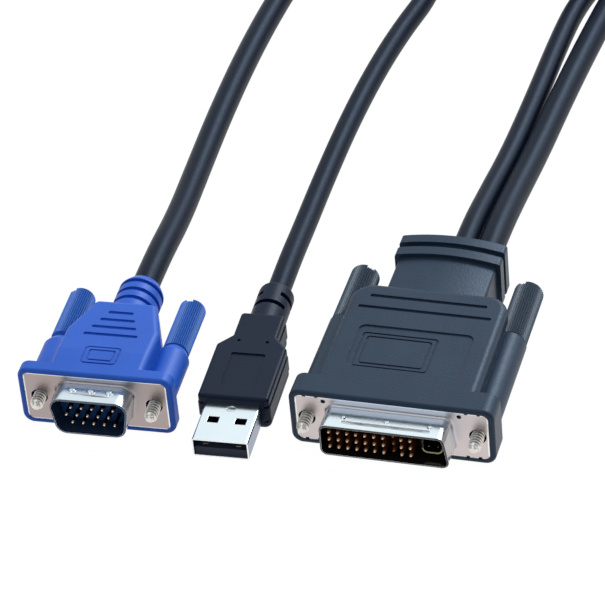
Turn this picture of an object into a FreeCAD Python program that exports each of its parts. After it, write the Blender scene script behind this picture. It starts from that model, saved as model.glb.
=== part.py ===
"""Video adapter cable: a projector plug joined by two cables to a 15-pin video plug and a data plug.

Millimetres, +Z up, the table at Z = 0.  The origin lies under the middle of the projector plug's
flange; its contacts face -Y and its cables leave along +Y.  Every plug is modelled about its own
axis (X across, Y from the plate or front face towards the cable, Z up) and is then set on the
table.  Places on the table are counted from below the middle of the projector plug's plate.
"""
import math
import os

import FreeCAD
import Part

Vector = FreeCAD.Vector
ALONG_Y = Vector(0, 1, 0)

# Places of the two smaller plugs on the table, and their turn about the vertical in degrees
VIDEO_PLUG_X = -62.97
VIDEO_PLUG_Y = -2.97
VIDEO_PLUG_TURN = 2.4
DATA_PLUG_X = -34.76
DATA_PLUG_Y = 2.21
DATA_PLUG_TURN = 2.7

# Plates, moulded rims and captive thumbscrews, alike on the projector plug and the video plug
PLATE_THICKNESS = 0.8
PLATE_CORNER = 1.4
SHROUD_WALL = 0.4
SHROUD_BASE_ROUND = 0.6
SHROUD_LIP_ROUND = 0.25
RIM_STEP = 0.25
RIM_ROUND = 0.7
FLANGE_CORNER = 2.4
BLOCK_SHOULDER = 0.9
BLOCK_FRONT = 1.2
BLOCK_DEPTH = 5.2
SHROUD_FIT = 0.05
THREAD_RADIUS = 1.42
THREAD_LENGTH = 2.8
THREAD_POCKET = 6.0
SHANK_RADIUS = 1.1
THREAD_CLEARANCE = 0.4
SHANK_CLEARANCE = 0.08
SCREW_IN_KNOB = 12.0
SCREW_TIP_CHAMFER = 0.35
KNOB_GAP = 0.6
KNOB_CHANNEL_CLEARANCE = 0.5
KNOB_RIB_DEPTH = 0.28
KNOB_END_CHAMFER = 0.6
KNOB_SLOT_WIDTH = 1.7
KNOB_SLOT_DEPTH = 1.1
GROOVE_WIDTH = 0.95
GROOVE_DEPTH = 0.4
FRAME_LINE_WIDTH = 0.45
FRAME_LINE_DEPTH = 0.25

# Projector plug: contact field
PROJECTOR_COLUMNS = 10
PROJECTOR_ROWS = 3
PROJECTOR_PITCH = 1.905
PROJECTOR_PIN_RADIUS = 0.42
PROJECTOR_PIN_REACH = 6.2
PROJECTOR_SHORT_COLUMN = 7
PROJECTOR_SHORT_STEP = 1.0
PROJECTOR_FIELD_MARGIN = 1.6
PROJECTOR_SHROUD_REACH = 6.6
PROJECTOR_SHROUD_SLANT = 1.2
PROJECTOR_SHROUD_CORNER = 1.2
PROJECTOR_EMBOSS_LENGTH = 18.6
PROJECTOR_EMBOSS_WIDTH = 0.8
PROJECTOR_EMBOSS_DEPTH = 0.2
PROJECTOR_EMBOSS_Y = -4.7
PROJECTOR_DIMPLE_RADIUS = 0.75
PROJECTOR_DIMPLE_HEIGHT = 0.25
PROJECTOR_DIMPLE_SPACING = 9.1
PROJECTOR_DIMPLE_Y = -3.4
PLATE_HOLE_RADIUS = 0.5
PLATE_HOLE_SPACING = 28.7
PLATE_HOLE_Z = 4.7
PLATE_NOTCH_WIDTH = 0.7
PLATE_NOTCH_DEPTH = 0.45
PLATE_NOTCH_INNER = 15.8
PLATE_NOTCH_OUTER = 18.4
CROSS_FROM_LAST_COLUMN = 4.1
CROSS_SHIELD_WIDTH = 4.4
CROSS_SHIELD_WALL = 0.3
CROSS_SHIELD_CORNER = 1.3
CROSS_SHIELD_REACH = 4.2
CROSS_PIN_SPACING = 2.0
CROSS_PIN_REACH = 3.6

# Projector plug: plate, screws and moulded hood
PROJECTOR_SCREW_SPACING = 36.2
PROJECTOR_PLATE_END = 2.4
PROJECTOR_PLATE_HEIGHT = 11.8
PROJECTOR_RIM_SIDE = 1.25
PROJECTOR_RIM_TOP = 1.05
PROJECTOR_FLANGE_DEPTH = 5.85
PROJECTOR_SCREW_REACH = 4.4
PROJECTOR_LEFT_SLOT_TURN = 30.0
PROJECTOR_RIGHT_SLOT_TURN = -25.0
PROJECTOR_HOOD_WIDTH = 34.0
PROJECTOR_HOOD_REAR = 37.9
PROJECTOR_HOOD_CORNER = 5.0
PROJECTOR_HOOD_ROUND = 1.5
PROJECTOR_SLEEVE_RADIUS = 3.4
PROJECTOR_SLEEVE_REAR = 30.5
PROJECTOR_KNOB_RADIUS = 3.2
PROJECTOR_KNOB_LENGTH = 17.8
PROJECTOR_KNOB_RIBS = 36
PROJECTOR_NECK_WIDTH = 21.6
PROJECTOR_NECK_SIDE_HEIGHT = 9.4
PROJECTOR_NECK_CROWN = 1.3
PROJECTOR_NECK_ROUND = 0.8
PROJECTOR_NECK_LENGTH = 18.8
COLLAR_RIB_PROUD = 0.9
COLLAR_RIB_WIDTH = 2.6
COLLAR_RIB_GAP = 1.7
GRIP_LINE_1_Y = 29.55
GRIP_LINE_1_LENGTH = 28.8
GRIP_LINE_2_Y = 33.45
GRIP_LINE_2_LENGTH = 25.4
FRAME_WIDTH = 24.6
FRAME_LENGTH = 13.8
FRAME_FRONT = 9.85
FRAME_CORNER = 1.6
FRAME_DEPTH = 0.3
PANEL_WIDTH = 16.3
PANEL_LENGTH = 11.4
PANEL_INSET = 1.2
PANEL_FRONT_INSET = 0.25
PANEL_LINE_GAP = 1.1

# Fifteen-pin video plug
VIDEO_COLUMNS = 5
VIDEO_ROWS = 3
VIDEO_PITCH = 2.29
VIDEO_ROW_PITCH = 1.98
VIDEO_PIN_RADIUS = 0.38
VIDEO_PIN_REACH = 5.2
VIDEO_FIELD_MARGIN_SIDE = 3.3
VIDEO_FIELD_MARGIN_TOP = 2.2
VIDEO_SHROUD_REACH = 5.9
VIDEO_SHROUD_SLANT = 1.5
VIDEO_SHROUD_CORNER = 2.2
VIDEO_DIMPLE_RADIUS = 1.1
VIDEO_DIMPLE_HEIGHT = 0.35
VIDEO_DIMPLE_SPACING = 4.0
VIDEO_DIMPLE_Y = -2.6
VIDEO_SCREW_SPACING = 24.99
VIDEO_PLATE_END = 3.1
VIDEO_PLATE_HEIGHT = 12.5
VIDEO_RIM_SIDE = 1.15
VIDEO_RIM_TOP = 1.0
VIDEO_FLANGE_DEPTH = 2.7
VIDEO_SCREW_REACH = 4.6
VIDEO_LEFT_SCREW_BACK = 0.9
VIDEO_LEFT_SLOT_TURN = -40.0
VIDEO_RIGHT_SLOT_TURN = -12.0
VIDEO_HOOD_WIDTH = 20.4
VIDEO_HOOD_REAR_WIDTH = 13.6
VIDEO_HOOD_REAR_HEIGHT = 11.8
VIDEO_HOOD_TAPER_Y = 15.8
VIDEO_HOOD_REAR = 26.6
VIDEO_HOOD_CORNER = 1.6
VIDEO_HOOD_ROUND = 1.4
VIDEO_SLEEVE_RADIUS = 3.6
VIDEO_SLEEVE_REAR = 17.2
VIDEO_SLEEVE_CHAMFER_LENGTH = 1.8
VIDEO_SLEEVE_CHAMFER = 0.8
VIDEO_KNOB_RADIUS = 2.9
VIDEO_KNOB_LENGTH = 15.5
VIDEO_KNOB_RIBS = 36
VIDEO_RELIEF_RADIUS = 5.0
VIDEO_RELIEF_END_RADIUS = 4.1
VIDEO_RELIEF_LENGTH = 11.4
VIDEO_RELIEF_GROOVES = 3
VIDEO_RELIEF_GROOVE_PITCH = 2.9
VIDEO_RELIEF_GROOVE_WIDTH = 1.1
VIDEO_RELIEF_GROOVE_DEPTH = 0.8
VIDEO_RELIEF_FIRST_GROOVE = 2.3
VIDEO_GRIPS = 4
VIDEO_GRIP_PITCH = 2.77
VIDEO_GRIP_FIRST_Y = 13.7
VIDEO_GRIP_FIRST_LENGTH = 11.9
VIDEO_GRIP_STEP = 2.1
VIDEO_BADGE_WIDTH = 7.9
VIDEO_BADGE_LENGTH = 5.8
VIDEO_BADGE_FRONT = 3.4
VIDEO_BADGE_CORNER = 1.0
VIDEO_BADGE_LINE_GAP = 1.05

# Data plug
DATA_SHELL_WIDTH = 12.0
DATA_SHELL_HEIGHT = 4.5
DATA_SHELL_WALL = 0.3
DATA_SHELL_CORNER = 0.5
DATA_SHELL_REACH = 12.0
DATA_SHELL_SEAT = 5.0
DATA_WINDOW_WIDTH = 2.4
DATA_WINDOW_LENGTH = 2.0
DATA_WINDOW_SPACING = 5.9
DATA_WINDOW_Y = -5.35
DATA_DIMPLE_RADIUS = 0.9
DATA_DIMPLE_Y = -1.6
DATA_TONGUE_THICKNESS = 1.85
DATA_TONGUE_SETBACK = 0.5
DATA_TONGUE_BASE = 3.0
DATA_CONTACT_WIDTH = 1.0
DATA_CONTACT_THICKNESS = 0.25
DATA_CONTACT_PROUD = 0.1
DATA_OUTER_CONTACT_SPACING = 7.0
DATA_INNER_CONTACT_SPACING = 2.0
DATA_OUTER_CONTACT_SETBACK = 0.9
DATA_INNER_CONTACT_SETBACK = 1.9
DATA_HOOD_WIDTH = 15.6
DATA_HOOD_HEIGHT = 8.0
DATA_HOOD_ROUND = 0.75
DATA_BAND_HEIGHT = 3.2
DATA_BAND_INSET = 0.15
DATA_SIDE_GROOVE_HEIGHT = 0.6
DATA_SIDE_GROOVE_INSET = 0.95
DATA_HOOD_LENGTH = 17.5
DATA_SHOULDER_LENGTH = 3.3
DATA_NECK_WIDTH = 10.0
DATA_NECK_LENGTH = 7.8
DATA_HOOD_CORNER = 0.9
DATA_UNDER_CORNER = 1.5
DATA_UNDER_ROUND = 1.2
DATA_PANEL_WIDTH = 7.4
DATA_PANEL_LENGTH = 11.2
DATA_PANEL_FRONT = 3.6
DATA_PANEL_DEPTH = 0.3
DATA_DOT_RADIUS = 0.4
DATA_DOT_SPACING = 6.2
DATA_DOT_Y = 18.9
DATA_RELIEF_RADIUS = 3.95
DATA_RELIEF_LENGTH = 11.5
DATA_RELIEF_ROUND = 0.8
DATA_RELIEF_SLOT_ROWS = 2
DATA_RELIEF_FIRST_SLOT = 3.9
DATA_RELIEF_SLOT_PITCH = 3.4
DATA_RELIEF_SLOT_WIDTH = 1.2
DATA_RELIEF_SLOT_DEPTH = 1.0
DATA_RELIEF_SLOT_SWEEP = 120.0

# Cables, their cores, and the coil of the length that is put away
VIDEO_CABLE_DIAMETER = 6.0
DATA_CABLE_DIAMETER = 5.2
VIDEO_CABLE_OFFSET = 6.4
CABLE_GAP = 0.2
CABLE_LEAD = 12.0
LYING_CLEARANCE = 0.1
COAX_RADIUS = 0.7
WIRE_RADIUS = 0.45
COIL_X = -5.0
COIL_Y = 236.0
COIL_TURN_RADIUS = 44.75
COIL_COLUMNS = 4.3
COIL_LAYERS = 2
COIL_MARGIN = 0.3
COIL_BEVEL = 2.4
TIE_WIDTH = 10.0
TIE_THICKNESS = 1.2

# Free routes: X, Y, and height of the cable's underside above its lying place
VIDEO_PROJECTOR_ROUTE = [
    (6.6, 85.5, 1.9), (7.4, 104.0, 0.3), (8.4, 127.0, 0.0), (10.0, 149.0, 0.1),
    (12.5, 169.0, 1.5), (17.9, 189.0, 5.9), (28.26, 206.06, 10.4),
]
DATA_PROJECTOR_ROUTE = [
    (0.8, 84.5, 2.0), (1.7, 103.0, 0.3), (2.4, 127.0, 0.0), (2.8, 149.0, 0.05),
    (3.7, 166.0, 0.0), (7.6, 181.5, 0.0), (17.2, 195.0, 0.0), (27.96, 206.33, 0.0),
]
VIDEO_PLUG_ROUTE = [
    (-65.9, 65.0, 1.8), (-67.7, 85.0, 0.2), (-69.0, 108.0, 0.0),
    (-69.5, 132.0, 0.0), (-68.9, 155.0, 0.0), (-66.4, 177.0, 1.1), (-62.3, 198.0, 5.3),
    (-57.0, 217.0, 10.3), (-52.2, 233.5, 14.5), (-48.22, 247.58, 16.4),
]
DATA_PLUG_ROUTE = [
    (-37.8, 68.0, 0.2), (-38.3, 86.0, 0.0), (-38.4, 108.0, 0.0),
    (-37.6, 129.5, 0.0), (-35.7, 149.0, 0.0), (-32.6, 166.0, 0.1), (-34.0, 182.5, 0.7),
    (-39.2, 198.0, 2.5), (-44.6, 213.5, 4.3), (-48.68, 228.3, 5.2),
]
ARC_SHARE = 0.45


def section_point(y):
    """Maps a 2D point to the plug's cross-section plane at y."""
    return lambda u, v: Vector(u, y, v)


def plan_point(z):
    """Maps a 2D point to the horizontal plane at z."""
    return lambda u, v: Vector(u, v, z)


def outline(points, radii, to_space):
    """Face inside a closed outline of straight runs, each corner rounded by a tangent arc."""
    ends = []
    count = len(points)
    for index, (x, y) in enumerate(points):
        before = points[index - 1]
        after = points[(index + 1) % count]
        back = Vector(before[0] - x, before[1] - y, 0).normalize()
        ahead = Vector(after[0] - x, after[1] - y, 0).normalize()
        half = back.getAngle(ahead) / 2
        reach = radii[index] / math.tan(half)
        inward = (back + ahead).normalize() * (radii[index] / math.sin(half) - radii[index])
        corner = Vector(x, y, 0)
        ends.append((corner + back * reach, corner + inward, corner + ahead * reach, radii[index] > 0))
    edges = []
    for index, (start, middle, stop, is_round) in enumerate(ends):
        if is_round:
            arc = [to_space(p.x, p.y) for p in (start, middle, stop)]
            edges.append(Part.Arc(*arc).toShape())
        following = ends[(index + 1) % count][0]
        if (following - stop).Length > 1e-6:
            edges.append(Part.makeLine(to_space(stop.x, stop.y), to_space(following.x, following.y)))
    return Part.Face(Part.Wire(edges))


def rounded_rectangle(width, height, radius, to_space, centre=(0.0, 0.0)):
    """Face of a rectangle with rounded corners about the given centre."""
    x, y = centre
    points = [(x - width / 2, y - height / 2), (x + width / 2, y - height / 2),
              (x + width / 2, y + height / 2), (x - width / 2, y + height / 2)]
    return outline(points, [radius] * 4, to_space)


def rounded_block(width, height, radius, front, rear):
    """Prism of a rounded rectangle between two cross-section planes."""
    return rounded_rectangle(width, height, radius, section_point(front)).extrude(ALONG_Y * (rear - front))


def rod(radius, front, rear, x=0.0, z=0.0):
    """Round bar along Y."""
    return Part.makeCylinder(radius, rear - front, Vector(x, front, z), ALONG_Y)


def turned(profile, x=0.0):
    """Solid of revolution about a line along Y, from (radius, y) points that start and end on it."""
    wire = Part.makePolygon([Vector(r, y, 0) for r, y in profile + profile[:1]])
    solid = Part.Face(wire).revolve(Vector(0, 0, 0), ALONG_Y, 360)
    return solid.translate(Vector(x, 0, 0))


def fillet_where(shape, radius, wanted):
    """Rounds the edges whose bounding box passes a test."""
    return shape.makeFillet(radius, [edge for edge in shape.Edges if wanted(edge.BoundBox)])


def united(shapes):
    """One solid from overlapping shapes, with split faces merged."""
    return shapes[0].multiFuse(shapes[1:]).removeSplitter()


def straight_wire(start, stop, radius):
    """Round conductor between two points."""
    return Part.makeCylinder(radius, (stop - start).Length, start, stop - start)


def sunk_panel(width, length, corner, centre, top, depth):
    """Shallow recess with the outline of a rounded rectangle, sunk into a flat top."""
    face = rounded_rectangle(width, length, corner, plan_point(top - depth), centre)
    return face.extrude(Vector(0, 0, 2 * depth))


def frame_line(width, length, corner, centre, top):
    """Closed groove that follows a rounded rectangle, sunk into a flat top."""
    depth = FRAME_LINE_DEPTH
    thinner = 2 * FRAME_LINE_WIDTH
    inner_corner = max(corner - FRAME_LINE_WIDTH, FRAME_LINE_WIDTH / 4)
    outer = sunk_panel(width, length, corner, centre, top, depth)
    return outer.cut(sunk_panel(width - thinner, length - thinner, inner_corner, centre, top, depth))


def grip_line(length, y, top, bottom):
    """Straight transverse groove with round ends, cut from a top down to a bottom."""
    face = rounded_rectangle(length, GROOVE_WIDTH, GROOVE_WIDTH * 0.49, plan_point(bottom), (0.0, y))
    return face.extrude(Vector(0, 0, top - bottom))


def drawn_shell(plate_width, plate_height, shroud, opening, reach, hole_spacing):
    """Plate with a drawn shroud: the plate's front is at Y = 0 and the shroud reaches towards -Y.

    shroud and opening give the shroud's outer and inner face at a cross-section plane.
    """
    plate = rounded_block(plate_width, plate_height, PLATE_CORNER, 0.0, PLATE_THICKNESS)
    tube = shroud(section_point(-reach)).extrude(ALONG_Y * (reach + PLATE_THICKNESS))
    shell = plate.fuse(tube)
    tube_box = tube.BoundBox

    def on_tube(box):
        return (box.XMin > tube_box.XMin - 0.01 and box.XMax < tube_box.XMax + 0.01
                and box.ZMin > tube_box.ZMin - 0.01 and box.ZMax < tube_box.ZMax + 0.01)

    shell = fillet_where(shell, SHROUD_LIP_ROUND,
                         lambda box: box.YMax < -reach + 0.01)
    shell = fillet_where(shell, SHROUD_BASE_ROUND,
                         lambda box: on_tube(box) and abs(box.YMin) < 0.01 and abs(box.YMax) < 0.01)
    cuts = [opening(section_point(-2 * reach)).extrude(ALONG_Y * (3 * reach))]
    for side in (-1, 1):
        cuts.append(rod(THREAD_RADIUS + THREAD_CLEARANCE, -reach, reach, side * hole_spacing / 2))
    return shell.cut(cuts)


def grip_dimples(radius, height, spacing, y, top):
    """Three raised dimples in a row on the top of a shroud, each rooted half-way into its wall."""
    root = SHROUD_WALL / 2
    return [Part.makeCone(radius, radius / 2, root + height, Vector(step * spacing, y, top - root))
            for step in (-1, 0, 1)]


def contact_block(opening_front, opening_width, opening_height, contacts):
    """Insulator: a front that fills the shroud, and a shouldered rear behind the plate."""
    front = opening_front(section_point(-BLOCK_FRONT)).extrude(ALONG_Y * (BLOCK_FRONT + PLATE_THICKNESS))
    rear = rear_block(opening_width, opening_height)
    return front.fuse(rear).removeSplitter().cut(contacts)


def rear_block(opening_width, opening_height):
    """Part of an insulator that sits behind the plate, inside the moulded hood."""
    return rounded_block(opening_width + 2 * BLOCK_SHOULDER, opening_height + 2 * BLOCK_SHOULDER,
                         BLOCK_SHOULDER, PLATE_THICKNESS, PLATE_THICKNESS + BLOCK_DEPTH)


def block_rear():
    """Y of the insulators' rear face."""
    return PLATE_THICKNESS + BLOCK_DEPTH


def pin(radius, reach, x, z):
    """Round contact with a tapered tip, from its tip to the insulator's rear face."""
    body = rod(radius, -reach + radius, block_rear(), x, z)
    tip = Part.makeCone(radius * 0.45, radius, radius, Vector(x, -reach, z), ALONG_Y)
    return body.fuse(tip).removeSplitter()


def thumbscrew(x, screw_reach, knob_front, knob_radius, knob_length, ribs, setback, slot_turn):
    """Captive thumbscrew along Y: a ribbed moulded knob with a slotted end, and its steel screw."""
    front = knob_front + KNOB_GAP + setback
    rear = front + knob_length
    seat_end = front + SCREW_IN_KNOB
    tip = -screw_reach + setback
    shoulder = tip + THREAD_LENGTH
    screw = turned([(0, tip), (THREAD_RADIUS - SCREW_TIP_CHAMFER, tip),
                    (THREAD_RADIUS, tip + SCREW_TIP_CHAMFER), (THREAD_RADIUS, shoulder),
                    (SHANK_RADIUS, shoulder), (SHANK_RADIUS, seat_end), (0, seat_end)], x)
    corners = []
    for step in range(2 * ribs):
        angle = math.pi * step / ribs
        radius = knob_radius - KNOB_RIB_DEPTH * (step % 2)
        corners.append(Vector(x + radius * math.cos(angle), front, radius * math.sin(angle)))
    ribbed = Part.Face(Part.makePolygon(corners + corners[:1])).extrude(ALONG_Y * knob_length)
    envelope = turned([(0, front), (knob_radius, front), (knob_radius, rear - KNOB_END_CHAMFER),
                       (knob_radius - KNOB_END_CHAMFER, rear), (0, rear)], x)
    slot = Part.makeBox(KNOB_SLOT_WIDTH, 2 * KNOB_SLOT_DEPTH, 4 * knob_radius,
                        Vector(x - KNOB_SLOT_WIDTH / 2, rear - KNOB_SLOT_DEPTH, -2 * knob_radius))
    slot.rotate(Vector(x, rear, 0), ALONG_Y, slot_turn)
    bore = rod(SHANK_RADIUS, front, seat_end, x)
    return ribbed.common(envelope).cut([slot, bore]), screw


def screw_passage(x, sleeve_rear):
    """Stepped hole of a captive screw: a wide pocket behind the plate, then a narrow throat."""
    pocket = rod(THREAD_RADIUS + THREAD_CLEARANCE, -RIM_STEP, PLATE_THICKNESS + THREAD_POCKET, x)
    throat = rod(SHANK_RADIUS + SHANK_CLEARANCE, 0.0, sleeve_rear + 1.0, x)
    return [pocket, throat]


def flange_block(plate_width, plate_height, rim_side, rim_top, depth):
    """Moulded flange round a plate, with a soft front edge."""
    width = plate_width + 2 * rim_side
    height = plate_height + 2 * rim_top
    block = rounded_block(width, height, FLANGE_CORNER, -RIM_STEP, depth)
    return fillet_where(block, RIM_ROUND, lambda box: box.YMax < 0.01 - RIM_STEP)


def plate_seat(plate_width, plate_height):
    """Pocket that takes the plate and opens to the front."""
    return rounded_block(plate_width, plate_height, PLATE_CORNER, -2 * RIM_STEP, PLATE_THICKNESS)


def crowned_bar(width, side_height, crown, front, rear, corner):
    """Bar along Y with upright sides and a crowned top and underside."""
    half = width / 2
    low = -side_height / 2
    top_left = Vector(-half, front, -low)
    top_right = Vector(half, front, -low)
    low_left = Vector(-half, front, low)
    low_right = Vector(half, front, low)
    edges = [Part.Arc(top_left, Vector(0, front, crown - low), top_right).toShape(),
             Part.makeLine(top_right, low_right),
             Part.Arc(low_right, Vector(0, front, low - crown), low_left).toShape(),
             Part.makeLine(low_left, top_left)]
    bar = Part.Face(Part.Wire(edges)).extrude(ALONG_Y * (rear - front))
    return fillet_where(bar, corner, lambda box: box.YLength > (rear - front) - 0.01)


# Projector plug

PROJECTOR_FIELD_WIDTH = ((PROJECTOR_COLUMNS - 1) * PROJECTOR_PITCH + CROSS_FROM_LAST_COLUMN
                         + CROSS_SHIELD_WIDTH / 2 + 2 * PROJECTOR_FIELD_MARGIN)
PROJECTOR_FIELD_HEIGHT = (PROJECTOR_ROWS - 1) * PROJECTOR_PITCH + 2 * PROJECTOR_FIELD_MARGIN
PROJECTOR_PLATE_WIDTH = PROJECTOR_SCREW_SPACING + 2 * PROJECTOR_PLATE_END
PROJECTOR_AXIS_HEIGHT = PROJECTOR_PLATE_HEIGHT / 2 + PROJECTOR_RIM_TOP
PROJECTOR_REAR = PROJECTOR_HOOD_REAR + PROJECTOR_NECK_LENGTH
FIRST_COLUMN_X = -PROJECTOR_FIELD_WIDTH / 2 + PROJECTOR_FIELD_MARGIN
CROSS_X = FIRST_COLUMN_X + (PROJECTOR_COLUMNS - 1) * PROJECTOR_PITCH + CROSS_FROM_LAST_COLUMN
DATA_CABLE_OFFSET = VIDEO_CABLE_OFFSET - (VIDEO_CABLE_DIAMETER + DATA_CABLE_DIAMETER) / 2 - CABLE_GAP


def projector_outline(growth, to_space):
    """Shroud outline: a rectangle whose right end leans in towards the top."""
    half = PROJECTOR_FIELD_WIDTH / 2 + growth
    low = PROJECTOR_FIELD_HEIGHT / 2 + growth
    points = [(-half, -low), (half, -low), (half - PROJECTOR_SHROUD_SLANT, low), (-half, low)]
    return outline(points, [PROJECTOR_SHROUD_CORNER + growth] * 4, to_space)


def projector_shell():
    """Plate with small holes and edge notches, and shroud with a pressed line and dimples on its top."""
    shell = drawn_shell(
        PROJECTOR_PLATE_WIDTH, PROJECTOR_PLATE_HEIGHT,
        lambda plane: projector_outline(SHROUD_WALL, plane), lambda plane: projector_outline(0.0, plane),
        PROJECTOR_SHROUD_REACH, PROJECTOR_SCREW_SPACING)
    top = PROJECTOR_FIELD_HEIGHT / 2 + SHROUD_WALL
    line = rounded_rectangle(PROJECTOR_EMBOSS_LENGTH, PROJECTOR_EMBOSS_WIDTH, PROJECTOR_EMBOSS_WIDTH * 0.49,
                             plan_point(top - PROJECTOR_EMBOSS_DEPTH), (0.0, PROJECTOR_EMBOSS_Y))
    cuts = [line.extrude(Vector(0, 0, SHROUD_WALL))]
    for side in (-1, 1):
        cuts.append(rod(PLATE_HOLE_RADIUS, -PLATE_THICKNESS, 2 * PLATE_THICKNESS,
                        side * PLATE_HOLE_SPACING / 2, PLATE_HOLE_Z))
        for x in (PLATE_NOTCH_INNER, PLATE_NOTCH_OUTER):
            for edge in (-PROJECTOR_PLATE_HEIGHT / 2, PROJECTOR_PLATE_HEIGHT / 2):
                corner = Vector(side * x - PLATE_NOTCH_WIDTH / 2, -PLATE_THICKNESS,
                                edge - PLATE_NOTCH_DEPTH)
                cuts.append(Part.makeBox(PLATE_NOTCH_WIDTH, 3 * PLATE_THICKNESS, 2 * PLATE_NOTCH_DEPTH,
                                         corner))
    return shell.cut(cuts).multiFuse(grip_dimples(PROJECTOR_DIMPLE_RADIUS, PROJECTOR_DIMPLE_HEIGHT,
                                                  PROJECTOR_DIMPLE_SPACING, PROJECTOR_DIMPLE_Y, top))


def projector_contacts():
    """Thirty signal pins in rows, with one column set back."""
    pins = []
    for column in range(PROJECTOR_COLUMNS):
        setback = PROJECTOR_SHORT_STEP if column == PROJECTOR_SHORT_COLUMN else 0.0
        x = FIRST_COLUMN_X + column * PROJECTOR_PITCH
        for row in range(PROJECTOR_ROWS):
            z = (row - (PROJECTOR_ROWS - 1) / 2) * PROJECTOR_PITCH
            pins.append(pin(PROJECTOR_PIN_RADIUS, PROJECTOR_PIN_REACH - setback, x, z))
    return pins


def cross_corners(spacing):
    """Four points round the middle of the cross contact."""
    return [(CROSS_X + i * spacing / 2, j * spacing / 2) for i in (-1, 1) for j in (-1, 1)]


def cross_pins():
    """Four coaxial contacts inside the square shield."""
    return [pin(PROJECTOR_PIN_RADIUS, CROSS_PIN_REACH, x, z) for x, z in cross_corners(CROSS_PIN_SPACING)]


def cross_shield():
    """Square gilt tube round the coaxial contacts, seated in the insulator."""
    centre = (CROSS_X, 0.0)
    inside = CROSS_SHIELD_WIDTH - 2 * CROSS_SHIELD_WALL
    front = section_point(-CROSS_SHIELD_REACH)
    run = ALONG_Y * (CROSS_SHIELD_REACH + PLATE_THICKNESS)
    outer = rounded_rectangle(CROSS_SHIELD_WIDTH, CROSS_SHIELD_WIDTH, CROSS_SHIELD_CORNER, front, centre)
    hollow = rounded_rectangle(inside, inside, CROSS_SHIELD_CORNER - CROSS_SHIELD_WALL, front, centre)
    return outer.extrude(run).cut(hollow.extrude(run))


def projector_cores():
    """Coaxial cores and wires from the two cable ends to the contacts' rear ends."""
    tail = block_rear()
    cores = []
    for x, z in cross_corners(CROSS_PIN_SPACING):
        shift = Vector((x - CROSS_X) * 0.9, 0, z * 0.9)
        start = Vector(VIDEO_CABLE_OFFSET, PROJECTOR_REAR, 0) + shift
        cores.append(straight_wire(start, Vector(x, tail, z), COAX_RADIUS))
    for column in (1, 3):
        for side in (-1, 1):
            x = FIRST_COLUMN_X + column * PROJECTOR_PITCH
            start = Vector(DATA_CABLE_OFFSET + (column - 2) * 0.7, PROJECTOR_REAR, side * 0.7)
            stop = Vector(x, tail, side * PROJECTOR_PITCH)
            cores.append(straight_wire(start, stop, WIRE_RADIUS))
    return cores


def projector_hood(inner):
    """Moulded hood: flange, flat-topped body with screw sleeves, and a crowned neck with two ribs."""
    width = PROJECTOR_HOOD_WIDTH
    top = PROJECTOR_AXIS_HEIGHT
    rear = PROJECTOR_HOOD_REAR
    corner = PROJECTOR_HOOD_CORNER
    points = [(-width / 2, PLATE_THICKNESS), (width / 2, PLATE_THICKNESS),
              (width / 2, rear), (-width / 2, rear)]
    body = outline(points, [0, 0, corner, corner], plan_point(-top)).extrude(Vector(0, 0, 2 * top))
    body = fillet_where(body, PROJECTOR_HOOD_ROUND,
                        lambda box: box.ZLength < 0.01 and box.YMax > 2 * PLATE_THICKNESS)
    neck_front = rear - corner
    neck = crowned_bar(PROJECTOR_NECK_WIDTH, PROJECTOR_NECK_SIDE_HEIGHT, PROJECTOR_NECK_CROWN,
                       neck_front, PROJECTOR_REAR, PROJECTOR_NECK_ROUND)
    pieces = [flange_block(PROJECTOR_PLATE_WIDTH, PROJECTOR_PLATE_HEIGHT, PROJECTOR_RIM_SIDE,
                           PROJECTOR_RIM_TOP, PROJECTOR_FLANGE_DEPTH), body, neck]
    for step in range(2):
        rib_rear = PROJECTOR_REAR - step * (COLLAR_RIB_WIDTH + COLLAR_RIB_GAP)
        pieces.append(crowned_bar(PROJECTOR_NECK_WIDTH + 2 * COLLAR_RIB_PROUD,
                                  PROJECTOR_NECK_SIDE_HEIGHT + 2 * COLLAR_RIB_PROUD, PROJECTOR_NECK_CROWN,
                                  rib_rear - COLLAR_RIB_WIDTH, rib_rear, PROJECTOR_NECK_ROUND))
    cuts = [plate_seat(PROJECTOR_PLATE_WIDTH, PROJECTOR_PLATE_HEIGHT),
            rear_block(PROJECTOR_FIELD_WIDTH, PROJECTOR_FIELD_HEIGHT)]
    for side in (-1, 1):
        x = side * PROJECTOR_SCREW_SPACING / 2
        pieces.append(rod(PROJECTOR_SLEEVE_RADIUS, PLATE_THICKNESS, PROJECTOR_SLEEVE_REAR, x))
        cuts.extend(screw_passage(x, PROJECTOR_SLEEVE_REAR))
        channel_radius = PROJECTOR_KNOB_RADIUS + KNOB_CHANNEL_CLEARANCE
        cuts.append(rod(channel_radius, PROJECTOR_SLEEVE_REAR, PROJECTOR_REAR, x))
    for length, y in ((GRIP_LINE_1_LENGTH, GRIP_LINE_1_Y), (GRIP_LINE_2_LENGTH, GRIP_LINE_2_Y)):
        cuts.append(grip_line(length, y, top + GROOVE_DEPTH, top - GROOVE_DEPTH))
    middle = FRAME_FRONT + FRAME_LENGTH / 2
    cuts.append(sunk_panel(FRAME_WIDTH, FRAME_LENGTH, FRAME_CORNER, (0.0, middle), top, FRAME_DEPTH))
    panel_x = -FRAME_WIDTH / 2 + PANEL_INSET + PANEL_WIDTH / 2
    panel_y = FRAME_FRONT + PANEL_FRONT_INSET + PANEL_LENGTH / 2
    for shrink in (0.0, 2 * PANEL_LINE_GAP):
        cuts.append(frame_line(PANEL_WIDTH - shrink, PANEL_LENGTH - shrink, FRAME_CORNER / 2,
                               (panel_x, panel_y), top - FRAME_DEPTH))
    return united(pieces).cut(cuts + inner)


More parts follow.
